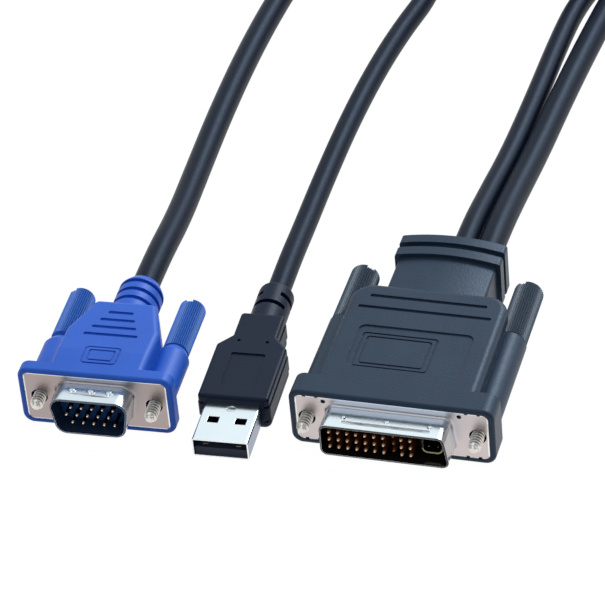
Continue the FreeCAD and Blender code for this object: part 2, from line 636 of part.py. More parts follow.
def projector_plug():
    """Pieces of the projector plug about its own axis."""
    contacts = projector_contacts()
    coaxial = cross_pins()
    shield = cross_shield()
    cores = projector_cores()
    pieces = {
        "projector_hood": projector_hood(cores),
        "projector_shell": projector_shell(),
        "projector_insulator": contact_block(
            lambda plane: projector_outline(-SHROUD_FIT, plane),
            PROJECTOR_FIELD_WIDTH, PROJECTOR_FIELD_HEIGHT, contacts + coaxial + [shield]),
        "projector_pins": Part.makeCompound(contacts),
        "projector_coaxial_pins": Part.makeCompound(coaxial),
        "projector_coaxial_shield": shield,
        "projector_cable_cores": Part.makeCompound(cores),
    }
    for name, side, turn in (("left", -1, PROJECTOR_LEFT_SLOT_TURN),
                             ("right", 1, PROJECTOR_RIGHT_SLOT_TURN)):
        knob, screw = thumbscrew(side * PROJECTOR_SCREW_SPACING / 2, PROJECTOR_SCREW_REACH,
                                 PROJECTOR_SLEEVE_REAR, PROJECTOR_KNOB_RADIUS, PROJECTOR_KNOB_LENGTH,
                                 PROJECTOR_KNOB_RIBS, 0.0, turn)
        pieces["projector_" + name + "_knob"] = knob
        pieces["projector_" + name + "_screw"] = screw
    return pieces


# Video plug

VIDEO_FIELD_WIDTH = (VIDEO_COLUMNS - 0.5) * VIDEO_PITCH + 2 * VIDEO_FIELD_MARGIN_SIDE
VIDEO_FIELD_HEIGHT = (VIDEO_ROWS - 1) * VIDEO_ROW_PITCH + 2 * VIDEO_FIELD_MARGIN_TOP
VIDEO_PLATE_WIDTH = VIDEO_SCREW_SPACING + 2 * VIDEO_PLATE_END
VIDEO_AXIS_HEIGHT = VIDEO_PLATE_HEIGHT / 2 + VIDEO_RIM_TOP
VIDEO_REAR = VIDEO_HOOD_REAR + VIDEO_RELIEF_LENGTH


def video_outline(growth, to_space):
    """D-shaped shroud outline, wider at the top."""
    half = VIDEO_FIELD_WIDTH / 2 + growth
    high = VIDEO_FIELD_HEIGHT / 2 + growth
    lean = VIDEO_SHROUD_SLANT
    points = [(-half + lean, -high), (half - lean, -high), (half, high), (-half, high)]
    return outline(points, [VIDEO_SHROUD_CORNER + growth] * 4, to_space)


def video_pin_places():
    """Fifteen places in three rows; the middle row is shifted by half a pitch."""
    places = []
    for row in range(VIDEO_ROWS):
        shift = VIDEO_PITCH / 4 * (1 if row % 2 == 0 else -1)
        for column in range(VIDEO_COLUMNS):
            x = (column - (VIDEO_COLUMNS - 1) / 2) * VIDEO_PITCH + shift
            places.append((x, (row - (VIDEO_ROWS - 1) / 2) * VIDEO_ROW_PITCH))
    return places


def video_shell():
    """Plate and D-shaped shroud, with three grip dimples on the shroud's top."""
    shell = drawn_shell(
        VIDEO_PLATE_WIDTH, VIDEO_PLATE_HEIGHT,
        lambda plane: video_outline(SHROUD_WALL, plane), lambda plane: video_outline(0.0, plane),
        VIDEO_SHROUD_REACH, VIDEO_SCREW_SPACING)
    return shell.multiFuse(grip_dimples(VIDEO_DIMPLE_RADIUS, VIDEO_DIMPLE_HEIGHT, VIDEO_DIMPLE_SPACING,
                                        VIDEO_DIMPLE_Y, VIDEO_FIELD_HEIGHT / 2 + SHROUD_WALL))


def video_relief():
    """Turned strain relief: rings parted by grooves, then a taper to the cable."""
    radius = VIDEO_RELIEF_RADIUS
    low = radius - VIDEO_RELIEF_GROOVE_DEPTH
    start = VIDEO_HOOD_REAR
    profile = [(0, start - VIDEO_HOOD_CORNER), (radius, start - VIDEO_HOOD_CORNER)]
    for step in range(VIDEO_RELIEF_GROOVES):
        y = start + VIDEO_RELIEF_FIRST_GROOVE + step * VIDEO_RELIEF_GROOVE_PITCH
        end = y + VIDEO_RELIEF_GROOVE_WIDTH
        profile += [(radius, y), (low, y), (low, end), (radius, end)]
    bevel = radius - VIDEO_RELIEF_END_RADIUS
    profile += [(radius, VIDEO_REAR - 2 * bevel), (VIDEO_RELIEF_END_RADIUS, VIDEO_REAR), (0, VIDEO_REAR)]
    return turned(profile)


def video_body():
    """Wedge-shaped grip: a tapering plan with a top and underside that fall towards the cable."""
    half = VIDEO_HOOD_WIDTH / 2
    rear_half = VIDEO_HOOD_REAR_WIDTH / 2
    high = VIDEO_AXIS_HEIGHT
    rear_high = VIDEO_HOOD_REAR_HEIGHT / 2
    front = PLATE_THICKNESS
    rear = VIDEO_HOOD_REAR
    taper = VIDEO_HOOD_TAPER_Y
    points = [(-half, front), (half, front), (half, taper),
              (rear_half, rear), (-rear_half, rear), (-half, taper)]
    corner = VIDEO_HOOD_CORNER
    radii = [0, 0, 2 * corner, corner, corner, 2 * corner]
    plan = outline(points, radii, plan_point(-high)).extrude(Vector(0, 0, 2 * high))
    side = [(-high, front), (-high, taper / 2), (-rear_high, rear),
            (rear_high, rear), (high, taper / 2), (high, front)]
    corners = [Vector(-half, y, z) for z, y in side]
    wedge = Part.Face(Part.makePolygon(corners + corners[:1])).extrude(Vector(2 * half, 0, 0))
    body = plan.common(wedge)

    def is_rim(box):
        lies_on_top = box.ZMin > rear_high - 0.01 or box.ZMax < 0.01 - rear_high
        runs_back = box.YLength > 0.01 or box.YMin > rear - 0.01
        return lies_on_top and runs_back

    return fillet_where(body, VIDEO_HOOD_ROUND, is_rim)


def video_top(y):
    """Height of the grip's top face above the plug's axis at y."""
    start = VIDEO_HOOD_TAPER_Y / 2
    fall = VIDEO_AXIS_HEIGHT - VIDEO_HOOD_REAR_HEIGHT / 2
    share = max(0.0, (y - start) / (VIDEO_HOOD_REAR - start))
    return VIDEO_AXIS_HEIGHT - fall * share


def video_cores(places):
    """Three coaxial cores and a bundle of wires from the cable end to the pins' rear ends."""
    tail = block_rear()
    cores = []
    for index in (0, 4, 10, 14):
        x, z = places[index]
        start = Vector(math.copysign(COAX_RADIUS * 1.4, x), VIDEO_REAR, math.copysign(COAX_RADIUS * 1.4, z))
        cores.append(straight_wire(start, Vector(x, tail, z), COAX_RADIUS))
    return cores


def video_hood(inner):
    """Moulded hood of the video plug with sleeves, grip lines, a plain framed badge and strain relief."""
    pieces = [flange_block(VIDEO_PLATE_WIDTH, VIDEO_PLATE_HEIGHT, VIDEO_RIM_SIDE, VIDEO_RIM_TOP,
                           VIDEO_FLANGE_DEPTH), video_body(), video_relief()]
    cuts = [plate_seat(VIDEO_PLATE_WIDTH, VIDEO_PLATE_HEIGHT),
            rear_block(VIDEO_FIELD_WIDTH, VIDEO_FIELD_HEIGHT)]
    sleeve = VIDEO_SLEEVE_RADIUS
    for side in (-1, 1):
        x = side * VIDEO_SCREW_SPACING / 2
        pieces.append(turned([(0, PLATE_THICKNESS), (sleeve, PLATE_THICKNESS),
                              (sleeve, VIDEO_SLEEVE_REAR - VIDEO_SLEEVE_CHAMFER_LENGTH),
                              (sleeve - VIDEO_SLEEVE_CHAMFER, VIDEO_SLEEVE_REAR),
                              (0, VIDEO_SLEEVE_REAR)], x))
        cuts.extend(screw_passage(x, VIDEO_SLEEVE_REAR))
        cuts.append(rod(VIDEO_KNOB_RADIUS + KNOB_CHANNEL_CLEARANCE, VIDEO_SLEEVE_REAR, VIDEO_REAR, x))
    for step in range(VIDEO_GRIPS):
        y = VIDEO_GRIP_FIRST_Y + step * VIDEO_GRIP_PITCH
        top = video_top(y)
        cuts.append(grip_line(VIDEO_GRIP_FIRST_LENGTH - step * VIDEO_GRIP_STEP, y,
                              top + 2 * GROOVE_DEPTH, top - GROOVE_DEPTH))
    middle = VIDEO_BADGE_FRONT + VIDEO_BADGE_LENGTH / 2
    gap = 2 * VIDEO_BADGE_LINE_GAP
    for shrink, corner in ((0.0, VIDEO_BADGE_CORNER), (gap, VIDEO_BADGE_CORNER / 2)):
        cuts.append(frame_line(VIDEO_BADGE_WIDTH - shrink, VIDEO_BADGE_LENGTH - shrink,
                               corner, (0.0, middle), video_top(middle)))
    return united(pieces).cut(cuts + inner)


def video_plug():
    """Pieces of the video plug about its own axis."""
    places = video_pin_places()
    pins = [pin(VIDEO_PIN_RADIUS, VIDEO_PIN_REACH, x, z) for x, z in places]
    cores = video_cores(places)
    pieces = {
        "video_hood": video_hood(cores),
        "video_shell": video_shell(),
        "video_insulator": contact_block(lambda plane: video_outline(-SHROUD_FIT, plane),
                                         VIDEO_FIELD_WIDTH, VIDEO_FIELD_HEIGHT, pins),
        "video_pins": Part.makeCompound(pins),
        "video_cable_cores": Part.makeCompound(cores),
    }
    for name, side, setback, turn in (("left", -1, VIDEO_LEFT_SCREW_BACK, VIDEO_LEFT_SLOT_TURN),
                                      ("right", 1, 0.0, VIDEO_RIGHT_SLOT_TURN)):
        knob, screw = thumbscrew(side * VIDEO_SCREW_SPACING / 2, VIDEO_SCREW_REACH, VIDEO_SLEEVE_REAR,
                                 VIDEO_KNOB_RADIUS, VIDEO_KNOB_LENGTH, VIDEO_KNOB_RIBS, setback, turn)
        pieces["video_" + name + "_knob"] = knob
        pieces["video_" + name + "_screw"] = screw
    return pieces


# Data plug

DATA_AXIS_HEIGHT = DATA_HOOD_HEIGHT / 2
DATA_NECK_REAR = DATA_HOOD_LENGTH + DATA_SHOULDER_LENGTH + DATA_NECK_LENGTH
DATA_REAR = DATA_NECK_REAR + DATA_RELIEF_LENGTH
DATA_BORE_WIDTH = DATA_SHELL_WIDTH - 2 * DATA_SHELL_WALL
DATA_BORE_HEIGHT = DATA_SHELL_HEIGHT - 2 * DATA_SHELL_WALL
DATA_TONGUE_TOP = -DATA_BORE_HEIGHT / 2 + DATA_TONGUE_THICKNESS


def data_shell():
    """Folded sheet-metal sleeve, open at the front, with four latch windows and a pressed dimple."""
    front = -DATA_SHELL_REACH
    outer = rounded_block(DATA_SHELL_WIDTH, DATA_SHELL_HEIGHT, DATA_SHELL_CORNER, front, DATA_SHELL_SEAT)
    hollow = rounded_block(DATA_BORE_WIDTH, DATA_BORE_HEIGHT, DATA_SHELL_CORNER - DATA_SHELL_WALL,
                           front, DATA_SHELL_SEAT)
    cuts = [hollow]
    for side in (-1, 1):
        corner = Vector(side * DATA_WINDOW_SPACING / 2 - DATA_WINDOW_WIDTH / 2,
                        DATA_WINDOW_Y - DATA_WINDOW_LENGTH / 2, -DATA_SHELL_HEIGHT)
        cuts.append(Part.makeBox(DATA_WINDOW_WIDTH, DATA_WINDOW_LENGTH, 2 * DATA_SHELL_HEIGHT, corner))
    floor = DATA_SHELL_HEIGHT / 2 - DATA_SHELL_WALL / 2
    cuts.append(Part.makeCylinder(DATA_DIMPLE_RADIUS, DATA_SHELL_WALL, Vector(0, DATA_DIMPLE_Y, floor)))
    return outer.cut(cuts)


def data_contacts():
    """Four flat contacts on the tongue; the outer pair reaches further forward."""
    rear = DATA_SHELL_SEAT
    bottom = DATA_TONGUE_TOP + DATA_CONTACT_PROUD - DATA_CONTACT_THICKNESS
    strips = []
    for spacing, setback in ((DATA_OUTER_CONTACT_SPACING, DATA_OUTER_CONTACT_SETBACK),
                             (DATA_INNER_CONTACT_SPACING, DATA_INNER_CONTACT_SETBACK)):
        front = -DATA_SHELL_REACH + DATA_TONGUE_SETBACK + setback
        for side in (-1, 1):
            corner = Vector(side * spacing / 2 - DATA_CONTACT_WIDTH / 2, front, bottom)
            strips.append(Part.makeBox(DATA_CONTACT_WIDTH, rear - front, DATA_CONTACT_THICKNESS, corner))
    return strips


def data_tongue(contacts):
    """Insulator: a base that fills the shell's rear and a tongue along its floor."""
    half_width = DATA_BORE_WIDTH / 2 - SHROUD_FIT
    floor = -DATA_BORE_HEIGHT / 2
    base_front = DATA_SHELL_SEAT - DATA_TONGUE_BASE
    tip = -DATA_SHELL_REACH + DATA_TONGUE_SETBACK
    base = Part.makeBox(2 * half_width, DATA_TONGUE_BASE, DATA_BORE_HEIGHT,
                        Vector(-half_width, base_front, floor))
    tongue = Part.makeBox(2 * half_width, base_front - tip, DATA_TONGUE_THICKNESS,
                          Vector(-half_width, tip, floor))
    return base.fuse(tongue).removeSplitter().cut(contacts)


def data_cores():
    """Four wires from the cable end to the contacts' rear ends."""
    tail = DATA_SHELL_SEAT
    height = DATA_TONGUE_TOP + DATA_CONTACT_PROUD - DATA_CONTACT_THICKNESS / 2
    cores = []
    for spacing, lift in ((DATA_OUTER_CONTACT_SPACING, 1), (DATA_INNER_CONTACT_SPACING, -1)):
        for side in (-1, 1):
            start = Vector(side * WIRE_RADIUS * 1.5, DATA_REAR, lift * WIRE_RADIUS * 1.5)
            cores.append(straight_wire(start, Vector(side * spacing / 2, tail, height), WIRE_RADIUS))
    return cores


def data_relief():
    """Round strain relief with two rows of part-way slots, the second turned by a quarter."""
    radius = DATA_RELIEF_RADIUS
    relief = rod(radius, DATA_NECK_REAR - DATA_HOOD_CORNER, DATA_REAR)
    relief = fillet_where(relief, DATA_RELIEF_ROUND, lambda box: box.YMin > DATA_REAR - 0.01)
    inner = radius - DATA_RELIEF_SLOT_DEPTH
    slots = []
    for row in range(DATA_RELIEF_SLOT_ROWS):
        y = DATA_NECK_REAR + DATA_RELIEF_FIRST_SLOT + row * DATA_RELIEF_SLOT_PITCH
        end = y + DATA_RELIEF_SLOT_WIDTH
        corners = [Vector(inner, y, 0), Vector(2 * radius, y, 0),
                   Vector(2 * radius, end, 0), Vector(inner, end, 0)]
        profile = Part.Face(Part.makePolygon(corners + corners[:1]))
        for side in (0, 180):
            middle = side + 90 * ((row + 1) % 2)
            start = profile.rotated(Vector(0, 0, 0), ALONG_Y, middle - DATA_RELIEF_SLOT_SWEEP / 2)
            slots.append(start.revolve(Vector(0, 0, 0), ALONG_Y, DATA_RELIEF_SLOT_SWEEP))
    return relief.cut(slots)


def data_slab(inset, corner, bottom, top):
    """Layer of the grip between two heights, with its sides drawn in by an inset."""
    half = DATA_HOOD_WIDTH / 2 - inset
    neck = DATA_NECK_WIDTH / 2 - inset
    shoulder = DATA_HOOD_LENGTH + DATA_SHOULDER_LENGTH
    points = [(-half, 0), (half, 0), (half, DATA_HOOD_LENGTH), (neck, shoulder), (neck, DATA_NECK_REAR),
              (-neck, DATA_NECK_REAR), (-neck, shoulder), (-half, DATA_HOOD_LENGTH)]
    face = outline(points, [corner] * 8, plan_point(bottom))
    return face.extrude(Vector(0, 0, top - bottom))


def data_body():
    """Grip with a groove along each side above and below a middle band, and a rounder underside."""
    high = DATA_HOOD_HEIGHT / 2
    band = DATA_BAND_HEIGHT / 2
    groove = band + DATA_SIDE_GROOVE_HEIGHT
    corner = DATA_HOOD_CORNER
    cap = fillet_where(data_slab(DATA_BAND_INSET, corner, groove, high), DATA_HOOD_ROUND,
                       lambda box: box.ZMin > high - 0.01)
    foot = fillet_where(data_slab(DATA_BAND_INSET, DATA_UNDER_CORNER, -high, -groove), DATA_UNDER_ROUND,
                        lambda box: box.ZMax < 0.01 - high)
    return united([data_slab(0.0, corner, -band, band),
                   data_slab(DATA_SIDE_GROOVE_INSET, corner, -groove, groove), cap, foot])


def data_hood(inner):
    """Moulded grip: banded body, shoulders, narrower neck and slotted strain relief."""
    high = DATA_HOOD_HEIGHT / 2
    middle = (0.0, DATA_PANEL_FRONT + DATA_PANEL_LENGTH / 2)
    cuts = [sunk_panel(DATA_PANEL_WIDTH, DATA_PANEL_LENGTH, DATA_HOOD_CORNER / 2, middle, high,
                       DATA_PANEL_DEPTH),
            rounded_block(DATA_SHELL_WIDTH, DATA_SHELL_HEIGHT, DATA_SHELL_CORNER, -1.0, DATA_SHELL_SEAT)]
    for side in (-1, 1):
        place = Vector(side * DATA_DOT_SPACING / 2, DATA_DOT_Y, high - GROOVE_DEPTH)
        cuts.append(Part.makeCylinder(DATA_DOT_RADIUS, high, place))
    return united([data_body(), data_relief()]).cut(cuts + inner)


def data_plug():
    """Pieces of the data plug about its own axis."""
    contacts = data_contacts()
    cores = data_cores()
    return {
        "data_hood": data_hood(cores),
        "data_shell": data_shell(),
        "data_tongue": data_tongue(contacts),
        "data_contacts": Part.makeCompound(contacts),
        "data_cable_cores": Part.makeCompound(cores),
    }


# Cables

def tube_path(points):
    """Straight runs joined by arcs as large as the runs allow; also returns the arcs' radii."""
    edges = []
    radii = []
    position = points[0]
    for before, corner, after in zip(points, points[1:], points[2:]):
        back = before - corner
        ahead = after - corner
        turn = math.pi - back.getAngle(ahead)
        reach = ARC_SHARE * min(back.Length, ahead.Length)
        radius = reach / math.tan(turn / 2)
        back.normalize()
        ahead.normalize()
        start = corner + back * reach
        stop = corner + ahead * reach
        middle = corner + (back + ahead).normalize() * (radius / math.cos(turn / 2) - radius)
        edges.append(Part.LineSegment(position, start).toShape())
        edges.append(Part.Arc(start, middle, stop).toShape())
        radii.append(radius)
        position = stop
    edges.append(Part.LineSegment(position, points[-1]).toShape())
    return Part.Wire(edges), radii


def cable_tube(name, offset, rear, place, route, diameter):
    """Plain tube that leaves a plug's rear face squarely and follows a hand-chosen route."""
    first = plug_point(offset, rear, place)
    lead = plug_point(offset, rear + CABLE_LEAD, place)
    lying = diameter / 2 + LYING_CLEARANCE
    points = [first, lead] + [Vector(x, y, lying + lift) for x, y, lift in route]
    path, radii = tube_path(points)
    ring = Part.Wire(Part.makeCircle(diameter / 2, first, lead - first))
    tube = path.makePipe(Part.Face(ring))
    share = tube.Volume / (math.pi * diameter ** 2 / 4 * path.Length)
    print(name, "length", round(path.Length, 1), "least radius", round(min(radii), 1),
          "volume share", round(share, 4))
    return tube


def bevelled(width, height, bevel, centre, to_space):
    """Face of a rectangle with bevelled corners."""
    half_width = width / 2
    half_height = height / 2
    short_width = half_width - bevel
    short_height = half_height - bevel
    offsets = [(-half_width, -short_height), (-short_width, -half_height), (short_width, -half_height),
               (half_width, -short_height), (half_width, short_height), (short_width, half_height),
               (-short_width, half_height), (-half_width, short_height)]
    corners = [to_space(centre[0] + u, centre[1] + v) for u, v in offsets]
    return Part.Face(Part.makePolygon(corners + corners[:1]))


def coil_and_tie():
    """Outer shape of the tied coil of both cables, and the strap round it."""
    thickest = max(VIDEO_CABLE_DIAMETER, DATA_CABLE_DIAMETER)
    outer = COIL_TURN_RADIUS + thickest / 2 + COIL_MARGIN
    width = COIL_COLUMNS * thickest + 2 * COIL_MARGIN
    height = COIL_LAYERS * (VIDEO_CABLE_DIAMETER + DATA_CABLE_DIAMETER) + 2 * LYING_CLEARANCE
    centre = (outer - width / 2, height / 2)
    section = bevelled(width, height, COIL_BEVEL, centre, lambda u, v: Vector(u, 0, v))
    coil = section.revolve(Vector(0, 0, 0), Vector(0, 0, 1), 360)

    def strap_plane(u, v):
        return Vector(-TIE_WIDTH / 2, u, v)

    run = Vector(TIE_WIDTH, 0, 0)
    strap = bevelled(width, height, COIL_BEVEL, centre, strap_plane).extrude(run)
    waist = bevelled(width - 2 * TIE_THICKNESS, height - 2 * TIE_THICKNESS, COIL_BEVEL - TIE_THICKNESS / 2,
                     centre, strap_plane).extrude(run)
    space = Part.makeBox(TIE_WIDTH, 2 * width, 3 * height,
                         Vector(-TIE_WIDTH / 2, centre[0] - width, -height))
    shift = Vector(COIL_X, COIL_Y, 0)
    return coil.cut(space.cut(waist)).translated(shift), strap.cut(waist).translated(shift)


def seat(shape, x, y, height, turn):
    """Sets a plug's piece on the table."""
    placed = shape.copy()
    placed.rotate(Vector(0, 0, 0), Vector(0, 0, 1), turn)
    placed.translate(Vector(x, y, height))
    return placed


def plug_point(offset, y, place):
    """Point of a plug, given across and along its axis, on the table."""
    return seat(Part.Vertex(offset, y, 0), *place).Point


def all_pieces():
    """Every node of the part, in place."""
    projector_place = (0.0, 0.0, PROJECTOR_AXIS_HEIGHT, 0.0)
    video_place = (VIDEO_PLUG_X, VIDEO_PLUG_Y, VIDEO_AXIS_HEIGHT, VIDEO_PLUG_TURN)
    data_place = (DATA_PLUG_X, DATA_PLUG_Y, DATA_AXIS_HEIGHT, DATA_PLUG_TURN)
    nodes = {}
    for pieces, place in ((projector_plug(), projector_place), (video_plug(), video_place),
                          (data_plug(), data_place)):
        for name, shape in pieces.items():
            nodes[name] = seat(shape, *place)
    tubes = {
        "video_cable_projector_end": (VIDEO_CABLE_OFFSET, PROJECTOR_REAR, projector_place,
                                      VIDEO_PROJECTOR_ROUTE, VIDEO_CABLE_DIAMETER),
        "data_cable_projector_end": (DATA_CABLE_OFFSET, PROJECTOR_REAR, projector_place,
                                     DATA_PROJECTOR_ROUTE, DATA_CABLE_DIAMETER),
        "video_cable_plug_end": (0.0, VIDEO_REAR, video_place, VIDEO_PLUG_ROUTE, VIDEO_CABLE_DIAMETER),
        "data_cable_plug_end": (0.0, DATA_REAR, data_place, DATA_PLUG_ROUTE, DATA_CABLE_DIAMETER),
    }
    for name, tube in tubes.items():
        nodes[name] = cable_tube(name, *tube)
    nodes["cable_coil"], nodes["cable_tie"] = coil_and_tie()
    return nodes


os.makedirs("parts", exist_ok=True)
flange_middle = Vector(0, (PROJECTOR_FLANGE_DEPTH - RIM_STEP) / 2, 0)
for node_name, node_shape in all_pieces().items():
    node_shape.translated(-flange_middle).exportStep("parts/" + node_name + ".step")
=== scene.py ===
"""Looks of the video adapter cable: cables, screw threads, strap, finishes and a pale studio.

Metres, in the frame of the solids: +Z up from the table, +Y from the plugs towards the cables.
"""

import logging
import math
from dataclasses import dataclass
from enum import Enum
from typing import Any

import bpy
from mathutils import Matrix, Vector


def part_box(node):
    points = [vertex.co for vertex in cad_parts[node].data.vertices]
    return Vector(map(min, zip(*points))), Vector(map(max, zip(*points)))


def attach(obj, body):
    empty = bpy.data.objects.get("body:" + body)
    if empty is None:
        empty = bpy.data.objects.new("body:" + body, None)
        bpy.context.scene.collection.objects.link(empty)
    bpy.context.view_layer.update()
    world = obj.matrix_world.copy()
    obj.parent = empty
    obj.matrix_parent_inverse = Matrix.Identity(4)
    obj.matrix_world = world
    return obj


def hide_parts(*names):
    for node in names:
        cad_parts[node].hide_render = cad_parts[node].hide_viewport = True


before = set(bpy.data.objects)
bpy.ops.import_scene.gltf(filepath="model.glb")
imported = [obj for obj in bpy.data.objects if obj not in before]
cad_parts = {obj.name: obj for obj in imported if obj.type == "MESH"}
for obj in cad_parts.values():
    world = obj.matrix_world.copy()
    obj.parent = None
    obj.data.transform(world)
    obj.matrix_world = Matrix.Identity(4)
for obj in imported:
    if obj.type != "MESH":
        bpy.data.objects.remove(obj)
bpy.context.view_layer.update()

LOG = logging.getLogger("adapter_cable")
MM = 0.001
ROOT_BODY = "cable_set"
# Front of the projector plug's plate, along Y.
PROJECTOR_PLATE_AT_MM = -2.8
PLATE_FROM_ORIGIN = PROJECTOR_PLATE_AT_MM * MM
# How far the two smaller plugs lie askew to the wide one, and the way from each plug's mouth to its cable.
VIDEO_TURN = math.radians(2.4)
DATA_TURN = math.radians(2.68)
ALONG_PROJECTOR_PLUG = (0.0, 1.0, 0.0)
ALONG_VIDEO_PLUG = (-math.sin(VIDEO_TURN), math.cos(VIDEO_TURN), 0.0)
ALONG_DATA_PLUG = (-math.sin(DATA_TURN), math.cos(DATA_TURN), 0.0)
SIDEWAYS = (1.0, 0.0, 0.0)
# Share of each axis in a way that leaves out the length of a plug.
ACROSS_A_PLUG = (1.0, 0.0, 1.0)
# The way into the cross shield from its lower front edge.
FROM_LOWER_FRONT_EDGE = (0.0, 0.95, 0.31)
VINYL_IOR = 1.53
# Open share of the sky at which a hollow has its painted shade in full, and at which it has none of it.
HOLLOW_OPENNESS = 0.45
SURFACE_OPENNESS = 0.9
# Cosine between the plain and the rounded normal where an edge's painted highlight begins, and where it is
# full.
GLINT_BEGINS = 0.99
GLINT_FULL = 0.9
# Threads in one unit of a wave pattern at scale one: about three waves, each a raised and a sunken thread.
THREADS_PER_SCALE = 6.3
# Place of the colour among a Mix node's outputs.
MIXED_COLOUR = 2
WHITE = (1.0, 1.0, 1.0, 1.0)

Span = tuple[float, float]
Tree = bpy.types.NodeTree
Socket = bpy.types.NodeSocket
Triple = tuple[float, float, float]


class Plug(Enum):
    """The three plugs, by the first word of their nodes' names."""

    PROJECTOR = "projector"
    VIDEO = "video"
    DATA = "data"


class Side(Enum):
    """Sides of a plug, seen from in front of its mouth with the plug's top up."""

    LEFT = "left"
    RIGHT = "right"


def linear_colour(hex_code: str) -> tuple[float, float, float, float]:
    """Turns an sRGB hex value into a linear colour.

    Args:
        hex_code: six hex digits after a hash sign.

    Returns:
        Linear red, green, blue and an alpha of one.
    """
    channels = []
    for start in (1, 3, 5):
        value = int(hex_code[start:start + 2], 16) / 255
        channels.append(value / 12.92 if value <= 0.04045 else ((value + 0.055) / 1.055) ** 2.4)
    return (channels[0], channels[1], channels[2], 1.0)


def per_millimetre(size_mm: float) -> float:
    """Texture scale at which a pattern on Object coordinates repeats about once per size_mm."""
    return 1.0 / (size_mm * MM)


def in_metres(sizes_mm: Triple) -> Triple:
    """Turns three measures from millimetres into metres."""
    return (sizes_mm[0] * MM, sizes_mm[1] * MM, sizes_mm[2] * MM)


def beside(place_mm: float, blend_mm: Span) -> Span:
    """Returns where a blend beside a place starts and ends."""
    return (place_mm + blend_mm[0], place_mm + blend_mm[1])


def eased(share: float) -> float:
    """Holds a share between zero and one and softens its start and end."""
    held = min(max(share, 0.0), 1.0)
    return held * held * (3 - 2 * held)


def add_node(tree: Tree, kind: str, inputs: dict[str | int, Any] | None = None,
             **settings: Any) -> bpy.types.Node:
    """Adds one shader node with its settings and links.

    Args:
        tree: node tree that takes the node.
        kind: Blender's name of the node type.
        inputs: input names or numbers with values, or with the sockets that feed them.
        **settings: the node's own properties.

    Returns:
        The new node.
    """
    node = tree.nodes.new(kind)
    for name, value in settings.items():
        setattr(node, name, value)
    for name, value in (inputs or {}).items():
        socket = node.inputs[name]
        if isinstance(value, Socket):
            tree.links.new(value, socket)
        else:
            socket.default_value = value
    return node


def new_material(name: str) -> tuple[bpy.types.Material, Tree, bpy.types.Node]:
    """Makes an empty node material.

    Args:
        name: the finish's name.

    Returns:
        The material, its node tree and its Principled shader.
    """
    material = bpy.data.materials.new(name)
    material.use_nodes = True
    tree = material.node_tree
    return material, tree, tree.nodes["Principled BSDF"]


def painted_hollow_shade(tree: Tree, colour: Socket, hollow_shade_colour: str, reach_mm: float) -> Socket:
    """Paints shade into a colour where the surface is closed in, as between ribs: a darker colour stands in
    for the shade there.

    Args:
        tree: node tree that takes the nodes.
        colour: colour of the open surface.
        hollow_shade_colour: painted shade colour of the hollows.
        reach_mm: how near the walls of a hollow are.

    Returns:
        The blended colour.
    """
    # Ambient occlusion finds the hollows, where a darker colour is painted in as shade.
    open_share = add_node(tree, "ShaderNodeAmbientOcclusion", {"Distance": reach_mm * MM})
    raised = add_node(tree, "ShaderNodeMapRange",
                      {"Value": open_share.outputs["AO"], "From Min": HOLLOW_OPENNESS,
                       "From Max": SURFACE_OPENNESS})
    blend = add_node(tree, "ShaderNodeMix",
                     {"Factor": raised.outputs["Result"], "A": linear_colour(hollow_shade_colour), "B": colour},
                     data_type="RGBA")
    return blend.outputs[MIXED_COLOUR]


def share_along(tree: Tree, place: Socket, axis: Triple, span_mm: Span) -> Socket:
    """Makes a value that grows from zero to one along an axis.

    Args:
        tree: node tree that takes the nodes.
        place: Object coordinates.
        axis: direction of growth.
        span_mm: where it starts and ends, along the axis.

    Returns:
        The value.
    """
    along = add_node(tree, "ShaderNodeVectorMath", {0: place, 1: axis}, operation="DOT_PRODUCT")
    share = add_node(tree, "ShaderNodeMapRange",
                     {"Value": along.outputs["Value"], "From Min": span_mm[0] * MM,
                      "From Max": span_mm[1] * MM})
    return share.outputs["Result"]


